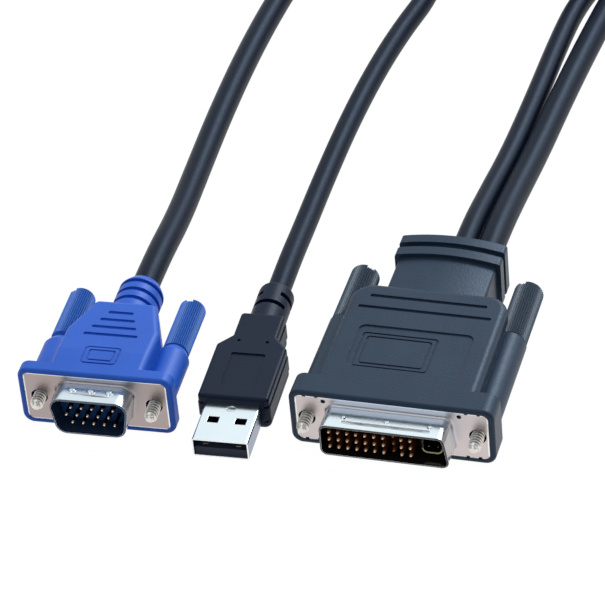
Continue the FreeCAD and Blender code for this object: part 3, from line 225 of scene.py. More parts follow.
@dataclass(frozen=True)
class MouldedVinyl:
    """Injection-moulded soft vinyl: a satin skin with a fine spark-eroded grain from its mould.

    The real grain is about a tenth of a millimetre wide. It is drawn as coarse as it needs to show.
    """

    name: str
    colour: str
    bright_colour: str
    roughness: float
    grain_mm: float = 0.4
    grain_height_mm: float = 0.014
    sheen: float = 0.4
    edge_mm: float = 0.15
    gloss_colour: str = "#FFFFFF"
    drift_mm: float = 9.0
    drift_span: Span = (0.3, 0.75)
    gloss_spread: Span = (-0.06, 0.08)
    grain_strength: float = 0.5

    def build(self) -> bpy.types.Material:
        """Makes the material: slow colour drift, fine grain, uneven gloss and softened edges.

        Returns:
            The material.
        """
        material, tree, shader = new_material(self.name)
        place = add_node(tree, "ShaderNodeTexCoord").outputs["Object"]
        drift = add_node(tree, "ShaderNodeTexNoise",
                         {"Vector": place, "Scale": per_millimetre(self.drift_mm), "Detail": 3.0})
        grain = add_node(tree, "ShaderNodeTexNoise",
                         {"Vector": place, "Scale": per_millimetre(self.grain_mm), "Detail": 2.0})
        tint = add_node(tree, "ShaderNodeValToRGB", {"Fac": drift.outputs["Fac"]})
        stops = zip(tint.color_ramp.elements, self.drift_span, (self.colour, self.bright_colour))
        for stop, position, colour in stops:
            stop.position = position
            stop.color = linear_colour(colour)
        gloss = add_node(tree, "ShaderNodeMapRange",
                         {"Value": grain.outputs["Fac"], "To Min": self.roughness + self.gloss_spread[0],
                          "To Max": self.roughness + self.gloss_spread[1]})
        edges = add_node(tree, "ShaderNodeBevel", {"Radius": self.edge_mm * MM})
        bump = add_node(tree, "ShaderNodeBump",
                        {"Height": grain.outputs["Fac"], "Strength": self.grain_strength,
                         "Distance": self.grain_height_mm * MM, "Normal": edges.outputs["Normal"]})
        tree.links.new(self.tinted(tree, tint.outputs["Color"]), shader.inputs["Base Color"])
        tree.links.new(gloss.outputs["Result"], shader.inputs["Roughness"])
        tree.links.new(bump.outputs["Normal"], shader.inputs["Normal"])
        shader.inputs["IOR"].default_value = VINYL_IOR
        shader.inputs["Specular IOR Level"].default_value = self.sheen
        shader.inputs["Specular Tint"].default_value = linear_colour(self.gloss_colour)
        return material

    def tinted(self, tree: Tree, colour: Socket) -> Socket:
        """Returns the colour as it is; a ribbed finish paints shade into its hollows."""
        return colour


@dataclass(frozen=True)
class RibbedVinyl(MouldedVinyl):
    """Moulded vinyl with fine ribs, with painted shade between them."""

    # Painted shade between the ribs.
    hollow_shade_colour: str = "#0B1118"
    rib_mm: float = 0.5
    edge_mm: float = 0.04

    def tinted(self, tree: Tree, colour: Socket) -> Socket:
        """Paints shade into the hollows between the ribs."""
        return painted_hollow_shade(tree, colour, self.hollow_shade_colour, self.rib_mm)


@dataclass(frozen=True)
class RolledMetal:
    """Plated sheet or bar metal: bright, with faint rolling streaks that soften its reflections.

    Real rolling streaks are finer than a tenth of a millimetre. They are drawn as coarse as they
    need to show.
    """

    name: str
    colour: str
    shade_colour: str
    roughness: float
    streak_mm: Triple = (0.5, 7.0, 0.5)
    metallic: float = 1.0
    edge_mm: float = 0.15
    # Colour of the painted highlight on the edges.
    edge_highlight_colour: str = "#FFFFFF"
    tarnish_mm: float = 6.0
    gloss_spread: Span = (-0.04, 0.05)

    def build(self) -> bpy.types.Material:
        """Makes the material: streaked gloss, slow tarnish and a painted highlight on the edges.

        Returns:
            The material.
        """
        material, tree, shader = new_material(self.name)
        place = add_node(tree, "ShaderNodeTexCoord").outputs["Object"]
        scale = tuple(per_millimetre(size_mm) for size_mm in self.streak_mm)
        stretch = add_node(tree, "ShaderNodeMapping", {"Vector": place, "Scale": scale})
        streaks = add_node(tree, "ShaderNodeTexNoise", {"Vector": stretch.outputs["Vector"], "Scale": 1.0})
        clouds = add_node(tree, "ShaderNodeTexNoise",
                          {"Vector": place, "Scale": per_millimetre(self.tarnish_mm)})
        tint = add_node(tree, "ShaderNodeMix",
                        {"Factor": clouds.outputs["Fac"], "A": linear_colour(self.colour),
                         "B": linear_colour(self.shade_colour)}, data_type="RGBA")
        gloss = add_node(tree, "ShaderNodeMapRange",
                         {"Value": streaks.outputs["Fac"], "To Min": self.roughness + self.gloss_spread[0],
                          "To Max": self.roughness + self.gloss_spread[1]})
        edges = add_node(tree, "ShaderNodeBevel", {"Radius": self.edge_mm * MM})
        facing = add_node(tree, "ShaderNodeNewGeometry").outputs["Normal"]
        flat = add_node(tree, "ShaderNodeVectorMath", {0: edges.outputs["Normal"], 1: facing},
                        operation="DOT_PRODUCT")
        glint_share = add_node(tree, "ShaderNodeMapRange",
                        {"Value": flat.outputs["Value"], "From Min": GLINT_BEGINS, "From Max": GLINT_FULL})
        plain = self.tinted(tree, place, tint.outputs[MIXED_COLOUR])
        # Painted highlight: the edges blend to a pale colour where the rounded normal turns away from the
        # plain one.
        burnished = add_node(tree, "ShaderNodeMix",
                             {"Factor": glint_share.outputs["Result"], "A": plain,
                              "B": linear_colour(self.edge_highlight_colour)}, data_type="RGBA")
        tree.links.new(burnished.outputs[MIXED_COLOUR], shader.inputs["Base Color"])
        tree.links.new(self.dulled(tree, place, gloss.outputs["Result"]), shader.inputs["Roughness"])
        tree.links.new(edges.outputs["Normal"], shader.inputs["Normal"])
        shader.inputs["Metallic"].default_value = self.metallic
        return material

    def tinted(self, tree: Tree, place: Socket, colour: Socket) -> Socket:
        """Returns the colour as it is; finishes that change along a plug blend it."""
        return colour

    def dulled(self, tree: Tree, place: Socket, roughness: Socket) -> Socket:
        """Returns the roughness as it is; finishes that change along a plug raise it."""
        return roughness


@dataclass(frozen=True)
class ThreadedMetal(RolledMetal):
    """Plated screw steel, with painted brown shade at the bottom of its thread."""

    # Painted shade at the bottom of the thread.
    hollow_shade_colour: str = "#3A2E26"
    thread_mm: float = 0.5

    def tinted(self, tree: Tree, place: Socket, colour: Socket) -> Socket:
        """Paints shade at the bottom of the thread."""
        return painted_hollow_shade(tree, colour, self.hollow_shade_colour, self.thread_mm)


@dataclass(frozen=True)
class PlatedShell(RolledMetal):
    """Plated steel: a burnished shroud with painted shade inside, drawn from a duller and warmer flat plate.

    A blend in millimetres starts and ends beside the plate, its rim or the mouth. Cosines say how far
    the surface has turned where a blend starts and ends.
    """

    plate_colour: str = "#D2C5C0"
    plate_roughness: float = 0.38
    # Painted reflection: a cool band on the shroud next to the plate.
    rear_reflection_colour: str = "#DCEBF8"
    line_colour: str = "#857C75"
    # Painted shade on the inner walls and the lip.
    inner_shade_colour: str = "#1A1613"
    plate_at_mm: float = 0.0
    shroud_mm: float = 6.6
    rear_mm: float = 2.4
    middle_mm: Triple = (0.0, 0.0, 0.0)
    plate_size_mm: Triple = (41.0, 0.0, 11.8)
    line_at_mm: Triple = (0.0, 0.0, 0.0)
    line_size_mm: Triple = (10.0, 0.55, 0.6)
    line_streak_mm: Triple = (3.0, 0.4, 3.0)
    axis: Triple = ALONG_PROJECTOR_PLUG
    # Less metal gleam under the painted shade.
    inner_shade_metallic: float = 0.1
    rear_blend_mm: float = 0.6
    plate_blend_mm: Span = (-0.7, -0.1)
    rim_blend_mm: Span = (-0.45, -0.25)
    inner_blend_mm: Span = (-0.5, -1.0)
    lip_blend_mm: Span = (0.7, 0.4)
    inward_cosines: Span = (0.2, 0.0)
    lip_cosines: Span = (-0.2, -0.6)
    line_fade: Span = (1.0, 0.7)
    line_streaks: Span = (0.3, 0.6)
    line_least: float = 0.3

    def build(self) -> bpy.types.Material:
        """Makes the material, with little metal gleam on the inner walls, which are painted as shade.

        Returns:
            The material.
        """
        material = super().build()
        tree = material.node_tree
        place = add_node(tree, "ShaderNodeTexCoord").outputs["Object"]
        gleam = add_node(tree, "ShaderNodeMapRange",
                         {"Value": self.inner_shade_share(tree, place), "To Min": self.metallic,
                          "To Max": self.inner_shade_metallic})
        tree.links.new(gleam.outputs["Result"], tree.nodes["Principled BSDF"].inputs["Metallic"])
        return material

    def tinted(self, tree: Tree, place: Socket, colour: Socket) -> Socket:
        """Blends in a painted reflection at the shroud's root, its dull line, the plate, a painted highlight
        on the plate's rim and painted shade on the inner walls and the lip.

        Args:
            tree: node tree that takes the nodes.
            place: Object coordinates.
            colour: colour of the shroud.

        Returns:
            The blended colour.
        """
        rear_end = self.plate_at_mm - self.rear_mm
        rear = share_along(tree, place, self.axis, (rear_end - self.rear_blend_mm, rear_end))
        blends = ((rear, self.rear_reflection_colour),
                  (self.line_share(tree, place), self.line_colour),
                  (self.plate_share(tree, place), self.plate_colour),
                  (self.rim_highlight_share(tree, place), self.edge_highlight_colour),
                  (self.inner_shade_share(tree, place), self.inner_shade_colour))
        for share, other_colour in blends:
            blend = add_node(tree, "ShaderNodeMix",
                             {"Factor": share, "A": colour, "B": linear_colour(other_colour)},
                             data_type="RGBA")
            colour = blend.outputs[MIXED_COLOUR]
        return colour

    def dulled(self, tree: Tree, place: Socket, roughness: Socket) -> Socket:
        """Raises the roughness on the plate, which is stamped and not burnished.

        Args:
            tree: node tree that takes the nodes.
            place: Object coordinates.
            roughness: roughness of the shroud.

        Returns:
            The blended roughness.
        """
        raised = add_node(tree, "ShaderNodeMapRange",
                          {"Value": self.plate_share(tree, place), "To Min": roughness,
                           "To Max": self.plate_roughness})
        return raised.outputs["Result"]

    def plate_share(self, tree: Tree, place: Socket) -> Socket:
        """Returns a value that is zero on the shroud and one on the plate."""
        return share_along(tree, place, self.axis, beside(self.plate_at_mm, self.plate_blend_mm))

    def inner_shade_share(self, tree: Tree, place: Socket) -> Socket:
        """Marks the inner walls and the lip, which get painted shade.

        Args:
            tree: node tree that takes the nodes.
            place: Object coordinates.

        Returns:
            A value that is one on the inner walls and the lip, and zero outside.
        """
        offset = add_node(tree, "ShaderNodeVectorMath", {0: place, 1: in_metres(self.middle_mm)},
                          operation="SUBTRACT")
        across = add_node(tree, "ShaderNodeVectorMath", {0: offset.outputs["Vector"], 1: ACROSS_A_PLUG},
                          operation="MULTIPLY")
        level = add_node(tree, "ShaderNodeVectorMath", {0: across.outputs["Vector"]}, operation="NORMALIZE")
        facing = add_node(tree, "ShaderNodeTexCoord").outputs["Normal"]
        outward = add_node(tree, "ShaderNodeVectorMath", {0: level.outputs["Vector"], 1: facing},
                           operation="DOT_PRODUCT")
        ahead = share_along(tree, place, self.axis, beside(self.plate_at_mm, self.inner_blend_mm))
        inner = add_node(tree, "ShaderNodeMapRange",
                         {"Value": outward.outputs["Value"], "From Min": self.inward_cosines[0],
                          "From Max": self.inward_cosines[1], "To Max": ahead})
        forward = add_node(tree, "ShaderNodeVectorMath", {0: facing, 1: self.axis}, operation="DOT_PRODUCT")
        mouth_mm = self.plate_at_mm - self.shroud_mm
        front = share_along(tree, place, self.axis, beside(mouth_mm, self.lip_blend_mm))
        lip = add_node(tree, "ShaderNodeMapRange",
                       {"Value": forward.outputs["Value"], "From Min": self.lip_cosines[0],
                        "From Max": self.lip_cosines[1], "To Max": front})
        dark = add_node(tree, "ShaderNodeMath", {0: inner.outputs["Result"], 1: lip.outputs["Result"]},
                        operation="MAXIMUM")
        return dark.outputs["Value"]

    def rim_highlight_share(self, tree: Tree, place: Socket) -> Socket:
        """Marks the plate's rolled rim, which gets a painted highlight.

        Args:
            tree: node tree that takes the nodes.
            place: Object coordinates.

        Returns:
            A value that is one on the rim and zero inside it.
        """
        half = tuple(value * MM / 2 for value in self.plate_size_mm)
        offset = add_node(tree, "ShaderNodeVectorMath", {0: place, 1: in_metres(self.middle_mm)},
                          operation="SUBTRACT")
        distance = add_node(tree, "ShaderNodeVectorMath", {0: offset.outputs["Vector"]}, operation="ABSOLUTE")
        past = add_node(tree, "ShaderNodeVectorMath", {0: distance.outputs["Vector"], 1: half},
                        operation="SUBTRACT")
        parts = add_node(tree, "ShaderNodeSeparateXYZ", {0: past.outputs["Vector"]})
        outer = add_node(tree, "ShaderNodeMath", {0: parts.outputs["X"], 1: parts.outputs["Z"]},
                         operation="MAXIMUM")
        rim = add_node(tree, "ShaderNodeMapRange",
                       {"Value": outer.outputs["Value"], "From Min": self.rim_blend_mm[0] * MM,
                        "From Max": self.rim_blend_mm[1] * MM})
        return rim.outputs["Result"]

    def line_share(self, tree: Tree, place: Socket) -> Socket:
        """Draws the streaky dull line across the shroud's top.

        Args:
            tree: node tree that takes the nodes.
            place: Object coordinates.

        Returns:
            The strength of the line.
        """
        offset = add_node(tree, "ShaderNodeVectorMath", {0: place, 1: in_metres(self.line_at_mm)},
                          operation="SUBTRACT")
        scaled = add_node(tree, "ShaderNodeVectorMath",
                          {0: offset.outputs["Vector"], 1: in_metres(self.line_size_mm)}, operation="DIVIDE")
        reach = add_node(tree, "ShaderNodeVectorMath", {0: scaled.outputs["Vector"]}, operation="LENGTH")
        scale = tuple(per_millimetre(size_mm) for size_mm in self.line_streak_mm)
        stretch = add_node(tree, "ShaderNodeMapping", {"Vector": place, "Scale": scale})
        streaks = add_node(tree, "ShaderNodeTexNoise", {"Vector": stretch.outputs["Vector"], "Scale": 1.0})
        strength = add_node(tree, "ShaderNodeMapRange",
                            {"Value": streaks.outputs["Fac"], "From Min": self.line_streaks[0],
                             "From Max": self.line_streaks[1], "To Min": self.line_least})
        dull = add_node(tree, "ShaderNodeMapRange",
                        {"Value": reach.outputs["Value"], "From Min": self.line_fade[0],
                         "From Max": self.line_fade[1], "To Max": strength.outputs["Result"]})
        return dull.outputs["Result"]


@dataclass(frozen=True)
class FoldedShell(RolledMetal):
    """Plated strip folded into a flat shell, with painted shade on its narrow sides, darker than its broad
    faces.
    """

    # Painted shade on the narrow sides.
    side_shade_colour: str = "#7B879A"
    side_cosines: Span = (0.3, 0.8)

    def tinted(self, tree: Tree, place: Socket, colour: Socket) -> Socket:
        """Blends to a painted shade colour where the sheet faces sideways.

        Args:
            tree: node tree that takes the nodes.
            place: Object coordinates.
            colour: colour of the broad faces.

        Returns:
            The blended colour.
        """
        facing = add_node(tree, "ShaderNodeTexCoord").outputs["Normal"]
        aside = add_node(tree, "ShaderNodeVectorMath", {0: facing, 1: SIDEWAYS}, operation="DOT_PRODUCT")
        size = add_node(tree, "ShaderNodeMath", {0: aside.outputs["Value"]}, operation="ABSOLUTE")
        share = add_node(tree, "ShaderNodeMapRange",
                         {"Value": size.outputs["Value"], "From Min": self.side_cosines[0],
                          "From Max": self.side_cosines[1]})
        blend = add_node(tree, "ShaderNodeMix",
                         {"Factor": share.outputs["Result"], "A": colour,
                          "B": linear_colour(self.side_shade_colour)}, data_type="RGBA")
        return blend.outputs[MIXED_COLOUR]


@dataclass(frozen=True)
class HighlightedTipContact(RolledMetal):
    """Gilt contact: a painted highlight on its tip and painted shade along its shaft."""

    # Painted shade along the shaft; the tip's own colour is a painted highlight.
    shaft_shade_colour: str = "#6B3519"
    tip_at_mm: float = 0.0
    axis: Triple = ALONG_PROJECTOR_PLUG
    tip_blend_mm: Span = (0.05, 0.4)

    def tinted(self, tree: Tree, place: Socket, colour: Socket) -> Socket:
        """Blends from the painted highlight on the tip to the painted shade on the shaft.

        Args:
            tree: node tree that takes the nodes.
            place: Object coordinates.
            colour: colour of the tip.

        Returns:
            The blended colour.
        """
        shaft = share_along(tree, place, self.axis, beside(self.tip_at_mm, self.tip_blend_mm))
        blend = add_node(tree, "ShaderNodeMix",
                         {"Factor": shaft, "A": colour, "B": linear_colour(self.shaft_shade_colour)},
                         data_type="RGBA")
        return blend.outputs[MIXED_COLOUR]


@dataclass(frozen=True)
class WovenStrap:
    """Woven nylon strap: crossed threads that show as a fine ribbed check."""

    name: str
    colour: str
    thread_colour: str
    thread_mm: float = 0.6
    thread_height_mm: float = 0.1
    thread_strength: float = 0.6
    roughness: float = 0.85

    def build(self) -> bpy.types.Material:
        """Makes the material: two thread waves in colour and bump.

        Returns:
            The material.
        """
        material, tree, shader = new_material(self.name)
        place = add_node(tree, "ShaderNodeTexCoord").outputs["Object"]
        scale = per_millimetre(self.thread_mm) / THREADS_PER_SCALE
        across = add_node(tree, "ShaderNodeTexWave", {"Vector": place, "Scale": scale}, bands_direction="X")
        along = add_node(tree, "ShaderNodeTexWave", {"Vector": place, "Scale": scale},
                         bands_direction="DIAGONAL")
        weave = add_node(tree, "ShaderNodeMath", {0: across.outputs["Fac"], 1: along.outputs["Fac"]},
                         operation="MULTIPLY")
        tint = add_node(tree, "ShaderNodeMix",
                        {"Factor": weave.outputs["Value"], "A": linear_colour(self.colour),
                         "B": linear_colour(self.thread_colour)}, data_type="RGBA")
        bump = add_node(tree, "ShaderNodeBump",
                        {"Height": weave.outputs["Value"], "Strength": self.thread_strength,
                         "Distance": self.thread_height_mm * MM})
        tree.links.new(tint.outputs[MIXED_COLOUR], shader.inputs["Base Color"])
        tree.links.new(bump.outputs["Normal"], shader.inputs["Normal"])
        shader.inputs["Roughness"].default_value = self.roughness
        return material


# Soft vinyl moulded round the wide plug: satin and blue-black, with a cool gloss on its slopes.
BLACK_VINYL = MouldedVinyl("black_moulded_vinyl", "#223041", "#283647", 0.4, grain_mm=0.5,
                           grain_height_mm=0.08, sheen=0.27, gloss_colour="#DFEDFF")
# The same vinyl on ribbed knobs: a shade paler on the ribs, with painted black shade between them.
BLACK_KNOB_VINYL = RibbedVinyl("black_knob_vinyl", "#2A3B4E", "#304255", 0.42, sheen=0.28)
# Soft blue vinyl of the video plug: even, clear blue with a dull gloss.
BLUE_VINYL = MouldedVinyl("blue_moulded_vinyl", "#1E57BD", "#235DC5", 0.44, grain_mm=0.5,
                          grain_height_mm=0.05, sheen=0.3)
# Blue vinyl on ribbed knobs: lighter ribs, with painted navy shade in the grooves.
BLUE_KNOB_VINYL = RibbedVinyl("blue_knob_vinyl", "#3472CE", "#3A78D6", 0.5, sheen=0.28,
                              hollow_shade_colour="#0C2A66")
# Extruded cable jacket: nearly black and smooth, with a long cool line of gloss.
JACKET_VINYL = MouldedVinyl("extruded_jacket_vinyl", "#030B1A", "#050F20", 0.43, grain_mm=0.6,
                            grain_height_mm=0.004, sheen=0.17, gloss_colour="#BFD8FF")
# Moulded vinyl of the flat plug: darker and flatter than the wide plug's.
PLUG_VINYL = MouldedVinyl("dark_moulded_vinyl", "#06142A", "#0A1930", 0.42, grain_mm=0.5,
                          grain_height_mm=0.04, sheen=0.16)
# Glass-filled polyester that holds the contacts: matt, with crisp edges.
INSULATOR = MouldedVinyl("glass_filled_insulator", "#0D0807", "#120C0B", 0.55, sheen=0.25, edge_mm=0.1)
BLUE_INSULATOR = MouldedVinyl("glass_filled_blue_insulator", "#1A4580", "#1F4C8A", 0.5, sheen=0.25,
                              edge_mm=0.1)
TONGUE = MouldedVinyl("glass_filled_tongue", "#202236", "#26283E", 0.5, sheen=0.25, edge_mm=0.1)
# Insulation of the cores inside the plugs: plain red vinyl.
CORE_VINYL = MouldedVinyl("core_insulation", "#8C2A22", "#98332A", 0.45)
# Nickel on drawn steel: a bright shroud in front of a warm grey plate.
PROJECTOR_NICKEL = PlatedShell("nickel_plated_projector_shell", "#F6FAFC", "#E9EFF1", 0.2, edge_mm=0.25,
                               plate_colour="#D0C6C5", plate_at_mm=PROJECTOR_PLATE_AT_MM,
                               middle_mm=(0.0, 0.0, 6.95), line_at_mm=(0.0, -7.5, 10.75))
# Its inner walls take a painted navy shade.
VIDEO_NICKEL = PlatedShell("nickel_plated_video_shell", "#EDF3F6", "#DEE5E8", 0.24, edge_mm=0.25,
                           plate_colour="#AEA19F", inner_shade_colour="#24344E", plate_at_mm=-3.13, shroud_mm=5.9,
                           middle_mm=(-62.98, 0.0, 7.25), plate_size_mm=(31.2, 0.0, 12.5),
                           line_at_mm=(-62.9, -9.5, 11.83), line_size_mm=(5.0, 0.35, 0.5),
                           axis=ALONG_VIDEO_PLUG)
# Nickel on folded strip: mirror-bright on top, with painted steel grey shade at the sides.
DATA_NICKEL = FoldedShell("nickel_plated_data_shell", "#F6FAFB", "#ECF2F4", 0.2)
# Nickel on turned steel: bright crests, with painted brown shade between them.
SCREW_NICKEL = ThreadedMetal("nickel_plated_screw", "#FBF3EA", "#EBE1D6", 0.34, metallic=0.7, edge_mm=0.04)
# Thin gold over nickel on the contacts: painted pale highlights on the tips, painted brown shade on the
# shafts.
PROJECTOR_GILT = HighlightedTipContact("gilt_projector_contact", "#FFDAB6", "#F6C69C", 0.3, metallic=0.6,
                              edge_mm=0.05, shaft_shade_colour="#84441F", tip_at_mm=-9.0)
VIDEO_GILT = HighlightedTipContact("gilt_video_contact", "#F8E4CF", "#EDD2B5", 0.3, edge_mm=0.05,
                          shaft_shade_colour="#2A1810", tip_at_mm=-8.33, axis=ALONG_VIDEO_PLUG)
DATA_GILT = HighlightedTipContact("gilt_data_contact", "#FBE6C8", "#F2D6B0", 0.3, metallic=0.6, edge_mm=0.05,
                         shaft_shade_colour="#15100A", tip_at_mm=-9.6, axis=ALONG_DATA_PLUG)
# Gold on the square shield: a painted highlight on its lower front edge and painted shade inside.
SHIELD_GILT = HighlightedTipContact("gilt_cross_shield", "#FFF2C0", "#FFEBB0", 0.3, metallic=0.8, edge_mm=0.05,
                           edge_highlight_colour="#FFF2C0", shaft_shade_colour="#0C0804", tip_at_mm=-5.15,
                           axis=FROM_LOWER_FRONT_EDGE)
# Gold on the contacts inside the shield, painted dark for the shade they lie in.
SHADED_GILT = RolledMetal("shaded_gilt_cross_pin", "#2E2212", "#261B0D", 0.36, edge_mm=0.05)
# Woven nylon: near black, with paler threads on top.
STRAP = WovenStrap("woven_nylon_strap", "#15181B", "#2A2F34")


def deselect_all() -> None:
    """Leaves object mode with nothing selected."""
    if bpy.context.object is not None and bpy.context.object.mode != "OBJECT":
        bpy.ops.object.mode_set(mode="OBJECT")
    bpy.ops.object.select_all(action="DESELECT")


def settle(piece: bpy.types.Object, matrix: Matrix) -> None:
    """Moves a finished piece's place into its mesh.

    Args:
        piece: object that was modelled at the origin.
        matrix: place of the piece in the part's frame.
    """
    piece.data.transform(matrix @ piece.matrix_basis)
    piece.matrix_basis = Matrix.Identity(4)


def dress(node_name: str, material: bpy.types.Material) -> None:
    """Gives a solid's object one material.

    Args:
        node_name: node of the frame.
        material: its finish.
    """
    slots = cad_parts[node_name].data.materials
    slots.clear()
    slots.append(material)
    LOG.info("dressed %s with %s", node_name, material.name)


@dataclass
class ViewPoint:
    """Camera of the photograph, found from the plugs' known sizes."""

    azimuth_deg: float = 18.87
    elevation_deg: float = 37.67
    roll_deg: float = -5.68
    distance: float = 752.6 * MM
    focal_px: float = 3500.0
    image_px: float = 605.0
    sensor_mm: float = 36.0
    target: Triple = (-29.24 * MM, 34.23 * MM, 6.95 * MM)

    def build(self) -> bpy.types.Object:
        """Makes the camera and sets it as the scene's.

        Returns:
            The camera.
        """
        azimuth = math.radians(self.azimuth_deg)
        elevation = math.radians(self.elevation_deg)
        back = Vector((math.sin(azimuth) * math.cos(elevation),
                       -math.cos(azimuth) * math.cos(elevation), math.sin(elevation)))
        right = (-back).cross(Vector((0, 0, 1))).normalized()
        up = back.cross(right)
        roll = math.radians(self.roll_deg)
        rolled_right = right * math.cos(roll) + up * math.sin(roll)
        rolled_up = up * math.cos(roll) - right * math.sin(roll)
        data = bpy.data.cameras.new("photo_camera")
        data.sensor_width = self.sensor_mm
        data.lens = self.sensor_mm * self.focal_px / self.image_px
        camera = bpy.data.objects.new("photo_camera", data)
        bpy.context.scene.collection.objects.link(camera)
        turn = Matrix((rolled_right, rolled_up, back)).transposed().to_4x4()
        camera.matrix_world = Matrix.Translation(Vector(self.target) + back * self.distance) @ turn
        bpy.context.scene.camera = camera
        return camera


@dataclass(frozen=True)
class Softbox:
    """A square lamp with a cool, soft light."""

    name: str
    place: Triple
    aim: Triple
    size: float
    watts: float
    colour: str = "#E6F3FF"

    def build(self) -> None:
        """Makes the lamp and turns it to its aim."""
        data = bpy.data.lights.new(self.name, "AREA")
        data.size = self.size
        data.energy = self.watts
        data.color = linear_colour(self.colour)[:3]
        lamp = bpy.data.objects.new(self.name, data)
        bpy.context.scene.collection.objects.link(lamp)
        lamp.location = self.place
        lamp.rotation_euler = (Vector(self.aim) - Vector(self.place)).to_track_quat("-Z", "Y").to_euler()


@dataclass
class Studio:
    """Pale floor, white surroundings and soft lamps."""

    floor_size: float = 8.0
    floor_colour: str = "#C4C4C4"
    floor_roughness: float = 0.9
    floor_glow_share: float = 0.92
    floor_glow: float = 1.06
    sky_colour: str = "#F0FAFF"
    dim_side: float = 0.12
    bright_side: float = 1.0
    bright_way: Triple = (0.1, 0.78, 0.62)
    bright_cosines: Span = (-0.5, 0.9)
    lamps: tuple[Softbox, ...] = (
        Softbox("right_softbox", place=(0.75, 1.13, 0.57), aim=(-0.02, 0.05, 0.0), size=0.4, watts=1.4),
        Softbox("back_softbox", place=(0.3, 1.12, 0.85), aim=(0.0, 0.05, 0.0), size=0.55, watts=11.0),
        Softbox("front_fill", place=(-0.35, -0.9, 0.9), aim=(-0.02, 0.05, 0.0), size=0.7, watts=2.0))

    def build(self) -> None:
        """Makes the floor, the world and the lamps."""
        bpy.context.scene.view_settings.view_transform = "Standard"
        self.build_floor()
        self.build_world()
        for lamp in self.lamps:
            lamp.build()
        LOG.info("set up the studio")

    def build_floor(self) -> None:
        """Makes a floor that looks white to the camera and in reflections, and keeps a soft shadow."""
        deselect_all()
        bpy.ops.mesh.primitive_plane_add(size=self.floor_size)
        floor = bpy.context.object
        floor.name = "studio_floor"
        material, tree, shader = new_material("pale_floor")
        shader.inputs["Base Color"].default_value = linear_colour(self.floor_colour)
        shader.inputs["Roughness"].default_value = self.floor_roughness
        rays = add_node(tree, "ShaderNodeLightPath")
        seen = add_node(tree, "ShaderNodeMath",
                        {0: rays.outputs["Is Camera Ray"], 1: rays.outputs["Is Glossy Ray"]},
                        operation="MAXIMUM")
        clear = add_node(tree, "ShaderNodeMath",
                         {0: seen.outputs["Value"], 1: rays.outputs["Is Transmission Ray"]},
                         operation="MAXIMUM")
        share = add_node(tree, "ShaderNodeMath", {0: clear.outputs["Value"], 1: self.floor_glow_share},
                         operation="MULTIPLY")
        glow = add_node(tree, "ShaderNodeEmission", {"Color": WHITE, "Strength": self.floor_glow})
        mixed = add_node(tree, "ShaderNodeMixShader", {"Fac": share.outputs["Value"]})
        tree.links.new(shader.outputs["BSDF"], mixed.inputs[1])
        tree.links.new(glow.outputs["Emission"], mixed.inputs[2])
        tree.links.new(mixed.outputs["Shader"], tree.nodes["Material Output"].inputs["Surface"])
        floor.data.materials.append(material)

    def build_world(self) -> None:
        """Makes surroundings that are bright behind and above the part and dim on the camera's side."""
        world = bpy.data.worlds.new("studio_world")
        bpy.context.scene.world = world
        world.use_nodes = True
        tree = world.node_tree
        way = add_node(tree, "ShaderNodeTexCoord").outputs["Generated"]
        facing = add_node(tree, "ShaderNodeVectorMath", {0: way, 1: self.bright_way}, operation="DOT_PRODUCT")
        glow = add_node(tree, "ShaderNodeMapRange",
                        {"Value": facing.outputs["Value"], "From Min": self.bright_cosines[0],
                         "From Max": self.bright_cosines[1], "To Min": self.dim_side,
                         "To Max": self.bright_side})
        rays = add_node(tree, "ShaderNodeLightPath")
        clear = add_node(tree, "ShaderNodeMath",
                         {0: rays.outputs["Is Camera Ray"], 1: rays.outputs["Is Transmission Ray"]},
                         operation="MAXIMUM")
        strength = add_node(tree, "ShaderNodeMath",
                            {0: glow.outputs["Result"], 1: clear.outputs["Value"]}, operation="MAXIMUM")
        sky = tree.nodes["Background"]
        tint = add_node(tree, "ShaderNodeMix",
                        {"Factor": clear.outputs["Value"], "A": linear_colour(self.sky_colour),
                         "B": WHITE}, data_type="RGBA")
        tree.links.new(tint.outputs[MIXED_COLOUR], sky.inputs["Color"])
        tree.links.new(strength.outputs["Value"], sky.inputs["Strength"])


